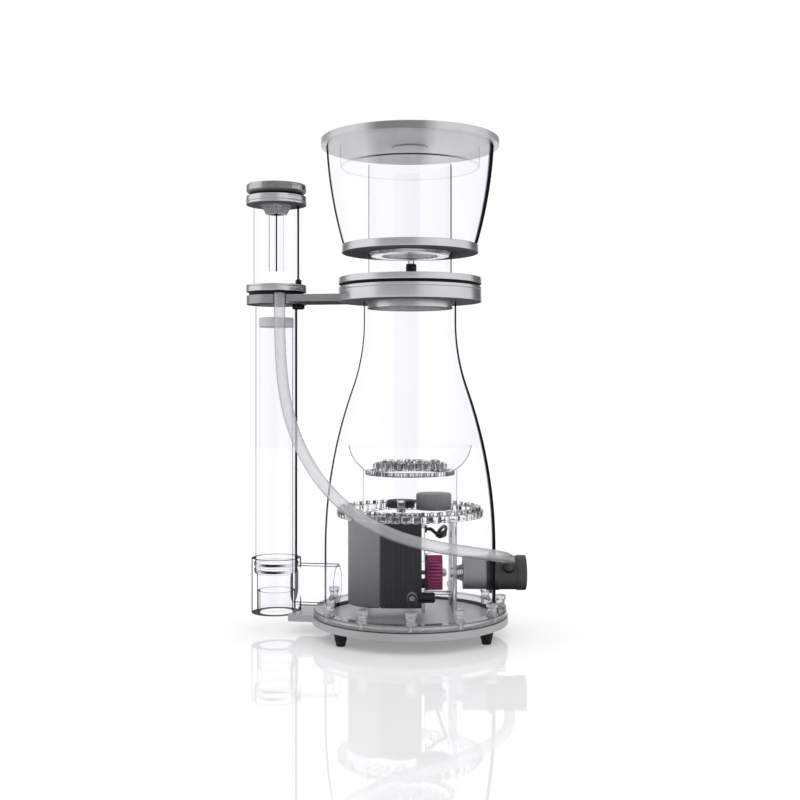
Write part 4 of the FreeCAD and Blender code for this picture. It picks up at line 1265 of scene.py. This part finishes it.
@dataclass
class Pump:
    """Needle-wheel pump that lies along X, in millimetres."""

    shaft: float = 71.0
    pins: tuple[tuple[float, int], ...] = ((19.4, 30), (16.2, 26), (12.8, 20), (9.4, 14))
    pin_radius: float = 0.95

    def __post_init__(self) -> None:
        """Place a point on the shaft's axis."""
        self.centre = spot(0, 0, self.shaft)

    def build(self) -> None:
        """Build the motor, the needle wheel, the nozzle and the ribbed inlet."""
        self._motor()
        self._wheel()
        self._inlet()
        for node, finish in (
            ("volute", VOLUTE_CLEAR), ("pump_backplate", VOLUTE_CLEAR), ("rotor_magnet", CHARCOAL),
            ("rotor_axle", CERAMIC), ("rotor_bush", CERAMIC), ("pump_lead", BLACK), ("lead_glands", BLACK),
        ):
            dress_node(node, finish)
        self._mounts()

    def _motor(self) -> None:
        """Raise the half-round cover and the housing with its upright facets."""
        half = [(-34.0 + 39.0 * math.cos(math.radians(turn)), 39.0 * math.sin(math.radians(turn)))
                for turn in range(90, 271, 3)]
        cover = extruded("motor_cover_rounded", mm(half), 36 * MM, 136 * MM, 1.4 * MM)
        stand_in(cover, "frame", MOTOR_GREY, "motor_cover")
        facets = [(-34.0, -39.0)]
        for step in range(8):
            left = -34 + 47 * step / 8
            facets += [(left + 0.6, -39.0), (left + 5.0, -39.0), (left + 5.4, -38.4)]
        facets += [(13.0, -39.0), (13.0, 39.0), (-34.0, 39.0)]
        housing = extruded("motor_housing_faceted", mm(facets), 36 * MM, 136 * MM, 0.3 * MM)
        bored(housing, [(spot(-30, 0, self.shaft), spot(14, 0, self.shaft), 13.2 * MM)])
        stand_in(housing, "frame", CHARCOAL, "motor_housing")

    def _wheel(self) -> None:
        """Build the wheel's web, hub and rings of pins, and the hexagonal nut before it."""
        mesh = bmesh.new()
        web = eased(mm([(2.5, 18), (21.2, 18), (21.2, 20.6), (6, 20.6), (6, 38), (2.5, 38)]), 0.4 * MM)
        add_turned(mesh, web, self.centre, Quality.MEDIUM.value, Axis.ALONG_X)
        disc = smooth_object("wheel_web_turned", mesh)
        # painted shade: the web wears the darker copy of the pins' magenta
        stand_in(disc, "rotor", WHEEL_SHADED, "needle_wheel")
        mesh = bmesh.new()
        pin = eased(mm([(0, 20), (self.pin_radius, 20), (self.pin_radius, 38), (0, 38)]), 0.3 * MM)
        for circle, count in self.pins:
            for index in range(count):
                angle = math.tau * index / count
                place = self.centre + Vector((0, math.cos(angle), math.sin(angle))) * circle * MM
                add_turned(mesh, pin, place, 12, Axis.ALONG_X)
        stand_in(smooth_object("wheel_pins", mesh), "rotor", MAGENTA, "needle_wheel")
        nut = eased(mm([(2.6, 38), (5, 38), (5, 42), (2.6, 42)]), 0.4 * MM)
        stand_in(turned("wheel_nut_hexagonal", nut, self.centre, axis=Axis.ALONG_X, steps=6), "rotor",
                 CERAMIC,
                 "wheel_nut")

    def _inlet(self) -> None:
        """Turn the clear stepped nozzle, the ribbed sleeve and the intake with its lips."""
        nozzle = [(4, 46.6), (5.5, 46.6)]
        for step in range(7):
            along = 48 + step * 2
            nozzle += [(5.6 + step * 0.62, along), (6.3 + step * 0.62, along + 0.5),
                       (5.9 + step * 0.62, along + 1.6)]
        nozzle += [(10, 62), (4, 62)]
        stand_in(turned("nozzle_ringed", mm(nozzle), self.centre, Quality.SMALL, Axis.ALONG_X), "frame",
                 SOLID_CLEAR, "venturi_nozzle")
        sleeve = [(4.2, 62), (19.0, 62)]
        for step in range(13):
            along = 62.4 + step * 2
            sleeve += [(19.5, along), (19.5, along + 1.2), (18.5, along + 1.4), (18.5, along + 1.9)]
        sleeve += [(19.0, 89), (15.5, 89), (15.5, 65), (4.2, 65)]
        stand_in(turned("inlet_sleeve_ribbed", mm(sleeve), self.centre, Quality.MEDIUM, Axis.ALONG_X),
                 "frame",
                 INLET_GREY, "inlet_sleeve")
        intake = eased(mm([
            (16.5, 89), (20.4, 89), (20.4, 104.5), (19.7, 105), (19.7, 124.6), (20.5, 125.1), (20.5, 134.8),
            (19.6, 136), (17.4, 136), (16.5, 134.6)]), 0.3 * MM)
        stand_in(turned("intake_turned", intake, self.centre, Quality.MEDIUM, Axis.ALONG_X), "frame",
                 INTAKE_DARK, "intake_body")
        dress_node("intake_seal", RUBBER)
        dress_node("side_port", BLACK)

    def _mounts(self) -> None:
        """Turn the rubber pads and the clear knobs that hold the pump on its plate."""
        pad = eased(mm([(0, 9.5), (6, 9.5), (6, 28), (0, 28)]), 2.4 * MM)
        knob = eased(mm([(0, 0), (6, 0), (6, 11), (3.4, 11), (3.4, 9), (0, 9)]), 1.0 * MM)
        washer = plain_ring(3.6, 5.4, 9.0, 11.6, 0.3)
        pads, knobs = bmesh.new(), bmesh.new()
        for side in (-1, 1):
            add_turned(pads, pad, spot(0, side * 47, 50), 48, Axis.ALONG_X)
            outward = [(radius, side * along) for radius, along in knob]
            add_turned(knobs, outward, spot(2, side * 41.5, 50), 48, Axis.ALONG_Y)
            ring = [(radius, side * along) for radius, along in washer]
            add_turned(pads, ring, spot(2, side * 41.4, 50), 48, Axis.ALONG_Y)
        stand_in(smooth_object("mount_pads", pads), "frame", BLACK, "pump_mounts")
        stand_in(smooth_object("mount_knobs", knobs), "frame", BRIGHT_CLEAR, "pump_mounts")


@dataclass
class BubbleParts:
    """Bubble plate, its posts and caps, the chamber tube, dish and diffuser, in millimetres."""

    teeth: int = 44
    hole_rings: tuple[tuple[float, int], ...] = ((8, 6), (16, 12), (24, 18), (32, 24), (39.5, 30))

    def build(self) -> None:
        """Build the toothed plate and the perforated diffuser, and dress the rest."""
        self._plate()
        self._diffuser()
        self._caps()
        walled("chamber_tube_turned", plain_ring(53, 55.5, 145.5, 192, 0.4), Vector(), "frame", INNER_CLEAR,
               "chamber_tube")
        bowl = [(0, 192), *arc((54, 192), (72.5, 221), 42, 14), *arc((70.5, 221), (53, 194), -40, 14),
                (0, 194)]
        walled("dish_turned", mm(bowl), Vector(), "frame", INNER_CLEAR, "bubble_dish")
        self._posts()

    def _posts(self) -> None:
        """Turn the threaded posts, the pads on the motor and the sleeve."""
        mesh = bmesh.new()
        post = [(0, 23)]
        for step in range(46):
            along = 23 + step * 2.5
            post += [(2.4, along), (2.4, along + 1.2), (1.6, along + 1.5), (1.6, along + 2.3)]
        post += [(0, 138)]
        for side in (-1, 1):
            add_turned(mesh, mm(post), spot(50, side * 62), 32)
            add_turned(mesh, eased(mm([(0, 136), (3.6, 136), (3.6, 138), (0, 138)]), 0.3 * MM),
                       spot(-34, side * 19.5), 32)
        sleeve = eased(mm([
            (3.7, 145.5), (5.2, 145.5), (5.2, 150), (4.6, 151), (4.6, 157), (5.2, 157.6), (5.2, 160),
            (3.7, 160)]),
            0.3 * MM)
        add_turned(mesh, sleeve, spot(-10.5, -32), 48)
        stand_in(smooth_object("posts_threaded", mesh), "frame", SPARKLE_CLEAR, "plate_posts")

    def _plate(self) -> None:
        """Turn the plate with round teeth and stepped rings near its rim."""
        teeth = self.teeth
        outline = eased(mm([
            (0, 138), (58, 138), (59, 139.2), (62, 139.2), (63, 138), (86, 138), (86, 145.5), (80, 145.5),
            (79, 144.2), (76, 144.2), (75, 145.5), (0, 145.5)]), 0.8 * MM)

        def reach(radius: float, along: float, angle: float) -> float:
            """Give a corner's radius, less the gap's depth between two teeth."""
            if radius < 85 * MM:
                return radius
            return radius - 6.0 * MM * abs(math.cos(angle * teeth / 2)) ** 6
        plate = turned("bubble_plate_toothed", outline, Vector(), relief=reach, steps=teeth * 14)
        rim = "frame", SPARKLE_CLEAR, "bubble_plate"
        stand_in(plate, *rim)
        plate.data.materials.append(BARE_CLEAR.material())
        for face in plate.data.polygons:
            if abs(face.normal.z) > 0.9 and Vector(face.center[:2]).length < 73 * MM:
                face.material_index = 1
        paint_dark_reflections(plate, 0.24, 72, PAINTED_DARK_REFLECTION)
        pegs = bmesh.new()
        peg = eased(mm([(0, 145.5), (2.4, 145.5), (2.0, 147), (2.4, 149.5), (0, 149.5)]), 0.3 * MM)
        for index in range(teeth * 2):
            add_turned(pegs, peg, polar(81 if index % 2 else 76, 180 * (index + 0.5) / teeth), 16)
        crown = smooth_object("bubble_plate_pegs", pegs)
        stand_in(crown, *rim)
        paint_dark_reflections(crown, 0.2, 0, PAINTED_DARK_REFLECTION)

    def _diffuser(self) -> None:
        """Turn the diffuser and drill its rings of holes."""
        plate = turned("diffuser_perforated", plain_ring(0, 44, 194.2, 200, 0.5), Vector(), Quality.MEDIUM)
        holes = []
        for circle, count in self.hole_rings:
            for index in range(count):
                place = polar(circle, 360 * index / count)
                holes.append((place + spot(0, 0, 192), place + spot(0, 0, 202), 2.4 * MM))
        bored(plate, holes, 16)
        stand_in(plate, "frame", BARE_CLEAR, "diffuser_plate")
        plate.data.materials.append(SPARKLE_CLEAR.material())
        plate.data.materials.append(BLACK.material())
        for face in plate.data.polygons:
            reach = Vector(face.center[:2]).length
            # painted reflection: every fourth face inside the drilled holes is black, the rest clear
            if abs(face.normal.z) < 0.5 and reach < 43 * MM:
                face.material_index = 1 if face.index % 4 else 2
            elif abs(face.normal.z) < 0.5 and math.sin(math.atan2(face.center.y, face.center.x) * 19) > 0.2:
                face.material_index = 1
        pins = bmesh.new()
        for circle, count in ((14, 10), (22, 16), (30, 22), (37, 28)):
            for index in range(count):
                seed = circle + index * 1.7
                if chance(seed) < 0.6:
                    top = 201.2 + 2.2 * chance(seed + 0.5)
                    pin = eased(mm([(0, 200), (2.2, 200), (1.6, 200.6), (2.2, top), (0, top)]), 0.2 * MM)
                    add_turned(pins, pin, polar(circle, 360 * (index + chance(seed + 9)) / count), 10)
        collar = eased(mm([(47, 186.5), (52.6, 186.5), (52.6, 191.6), (47, 191.6)]), 0.4 * MM)
        add_turned(pins, collar, Vector(), 576, relief=knurl(48, 2.6, 186, 192, 50.0))
        crown = smooth_object("diffuser_pins", pins)
        stand_in(crown, "frame", SPARKLE_CLEAR, "diffuser_plate")
        paint_dark_reflections(crown, 0.3, 0, PAINTED_DARK_REFLECTION)

    def _caps(self) -> None:
        """Turn the two caps on the plate, with fluted rims."""
        tall = eased(mm([(0, 145.5), (20.8, 145.5), (20.8, 163), (19.4, 164.5), (0, 164.5)]), 0.8 * MM)
        low = eased(mm([(0, 145.5), (17, 145.5), (17, 152.6), (15.6, 154), (0, 154)]), 0.8 * MM)
        flutes = knurl(36, 0.5, 147, 162.5, 20.0)
        stand_in(turned("tall_cap_fluted", tall, spot(28, 0), relief=flutes, steps=216), "frame", CAP_GREY,
                 "plate_caps")
        stand_in(turned("low_cap", low, spot(-11, 24), Quality.MEDIUM), "frame", CHARCOAL, "plate_caps")


@dataclass
class AirHose:
    """Air hose from the silencer's barb down to the intake's side port, in millimetres."""

    diameter: float = 13.0
    length: float = 545.4
    route: tuple[tuple[float, float, float], ...] = (
        (-152.9, -7.5, 399.5), (-152.9, -7.5, 372), (-151.5, -15, 340), (-148.5, -27, 307),
        (-142.5, -44, 274), (-132.5, -64, 243), (-118, -85, 214), (-99, -103, 187), (-75, -116, 163),
        (-48, -123.5, 144.5), (-18, -126, 130.5), (13, -123.5, 121), (43, -116, 114.5), (69, -103, 109),
        (91, -84, 103.5), (107, -62, 98), (114.6, -41, 91.9), (114.6, -21.38, 81.9),
    )

    def build(self) -> None:
        curve = bpy.data.curves.new("air_hose_laid", "CURVE")
        curve.dimensions = "3D"
        curve.bevel_depth = self.diameter / 2 * MM
        curve.bevel_resolution = 10
        curve.resolution_u = 8
        curve.use_fill_caps = True
        line = curve.splines.new("NURBS")
        line.points.add(len(self.route) - 1)
        for point, place in zip(line.points, self.route):
            point.co = (*spot(*place), 1.0)
        line.order_u = 3
        line.use_endpoint_u = True
        hose = bpy.data.objects.new("air_hose_laid", curve)
        bpy.context.scene.collection.objects.link(hose)
        stand_in(hose, "frame", HOSE, "air_hose")


def sky_stop(degrees: float, level: float) -> tuple[float, tuple[float, float, float]]:
    """Give a ramp stop for a bearing from +Y, positive to the right."""
    return degrees / 360.0 + 0.5, (level, level, level * 1.01)


@dataclass
class Studio:
    """White product set: a level camera, a sky of soft boxes and a white floor."""

    camera_place: tuple[float, float, float] = (-0.0118, -1.3415, 0.2905)
    lens: float = 51.26
    shift_y: float = -0.0175
    sky: tuple[tuple[float, float], ...] = (
        (-180, 0.50), (-128, 0.55), (-118, 1.30), (-62, 1.25), (-52, 0.25), (-27, 0.22), (-20, 1.02),
        (20, 1.02), (26, 0.02), (58, 0.03), (66, 1.05), (128, 1.2), (164, 0.95), (172, 0.50), (180, 0.50))

    def build(self) -> None:
        """Put up the camera, the sky and the floor, and set how light is traced."""
        self._camera()
        self._sky()
        self._floor()
        scene = bpy.context.scene
        scene.view_settings.view_transform = "Standard"
        scene.cycles.max_bounces = 32
        scene.cycles.transmission_bounces = 24
        scene.cycles.transparent_max_bounces = 48
        scene.cycles.glossy_bounces = 6
        scene.cycles.diffuse_bounces = 3

    def _camera(self) -> None:
        """Place the camera level and facing along +Y."""
        data = bpy.data.cameras.new("front_camera")
        data.lens = self.lens
        data.sensor_width = 36.0
        data.shift_y = self.shift_y
        data.clip_start = 0.05
        camera = bpy.data.objects.new("front_camera", data)
        camera.location = self.camera_place
        camera.rotation_euler = (math.pi / 2, 0.0, 0.0)
        bpy.context.scene.collection.objects.link(camera)
        bpy.context.scene.camera = camera

    def _sky(self) -> None:
        """Paint soft boxes round the horizon: white behind the piece, darker to its sides."""
        world = bpy.data.worlds.new("product_set")
        bpy.context.scene.world = world
        world.use_nodes = True
        tree = Tree(world.node_tree)
        way = tree.add("ShaderNodeTexCoord", {}, {}, out="Generated")
        east = tree.add("ShaderNodeSeparateXYZ", {}, {"Vector": way}, out="X")
        north = tree.add("ShaderNodeSeparateXYZ", {}, {"Vector": way}, out="Y")
        rise = tree.add("ShaderNodeSeparateXYZ", {}, {"Vector": way}, out="Z")
        bearing = tree.add("ShaderNodeMath", {"operation": "ARCTAN2"}, {0: east, 1: north})
        stops = [sky_stop(*stop) for stop in self.sky]
        around = tree.add("ShaderNodeValToRGB", {"stops": stops}, {"Fac": bearing * (1 / math.tau) + 0.5})
        up = ((rise - 0.6) * 4.0).clamped()
        colour = tree.mixed(up, around, (1.25, 1.25, 1.25, 1))
        tree.finish(tree.add("ShaderNodeBackground", {}, {"Color": colour, "Strength": 1.0}),
                    "ShaderNodeOutputWorld")

    def _floor(self) -> None:
        """Lay the white floor, which glows a little and mirrors the feet faintly."""
        mesh = bmesh.new()
        bmesh.ops.create_grid(mesh, x_segments=8, y_segments=8, size=4.0)
        floor = smooth_object("studio_floor", mesh)
        material = bpy.data.materials.new("white_floor")
        material.use_nodes = True
        tree = Tree(material.node_tree)
        white = tree.add("ShaderNodeBsdfPrincipled", {}, {
            "Base Color": (0.78, 0.78, 0.79, 1), "Roughness": 0.9, "Specular IOR Level": 0.0,
            "Emission Color": (1.0, 1.0, 1.0, 1), "Emission Strength": 0.30})
        mirror = tree.add("ShaderNodeBsdfPrincipled", {}, {
            "Base Color": (1.0, 1.0, 1.0, 1), "Metallic": 1.0, "Roughness": 0.03})
        tree.finish(tree.add("ShaderNodeMixShader", {}, {0: 0.24, 1: white, 2: mirror}))
        floor.data.materials.append(material)


def main() -> None:
    """Put up the set, lay the hose and build every sub-assembly."""
    logging.basicConfig(level=logging.INFO, format="%(name)s: %(message)s")
    Studio().build()
    AirHose().build()
    for part in (Base(), ReactionBody(), CollectionCup(), Tower(), Silencer(), Pump(), BubbleParts()):
        part.build()
        LOG.info("%s is built", type(part).__name__)


if __name__ == "__main__":
    main()
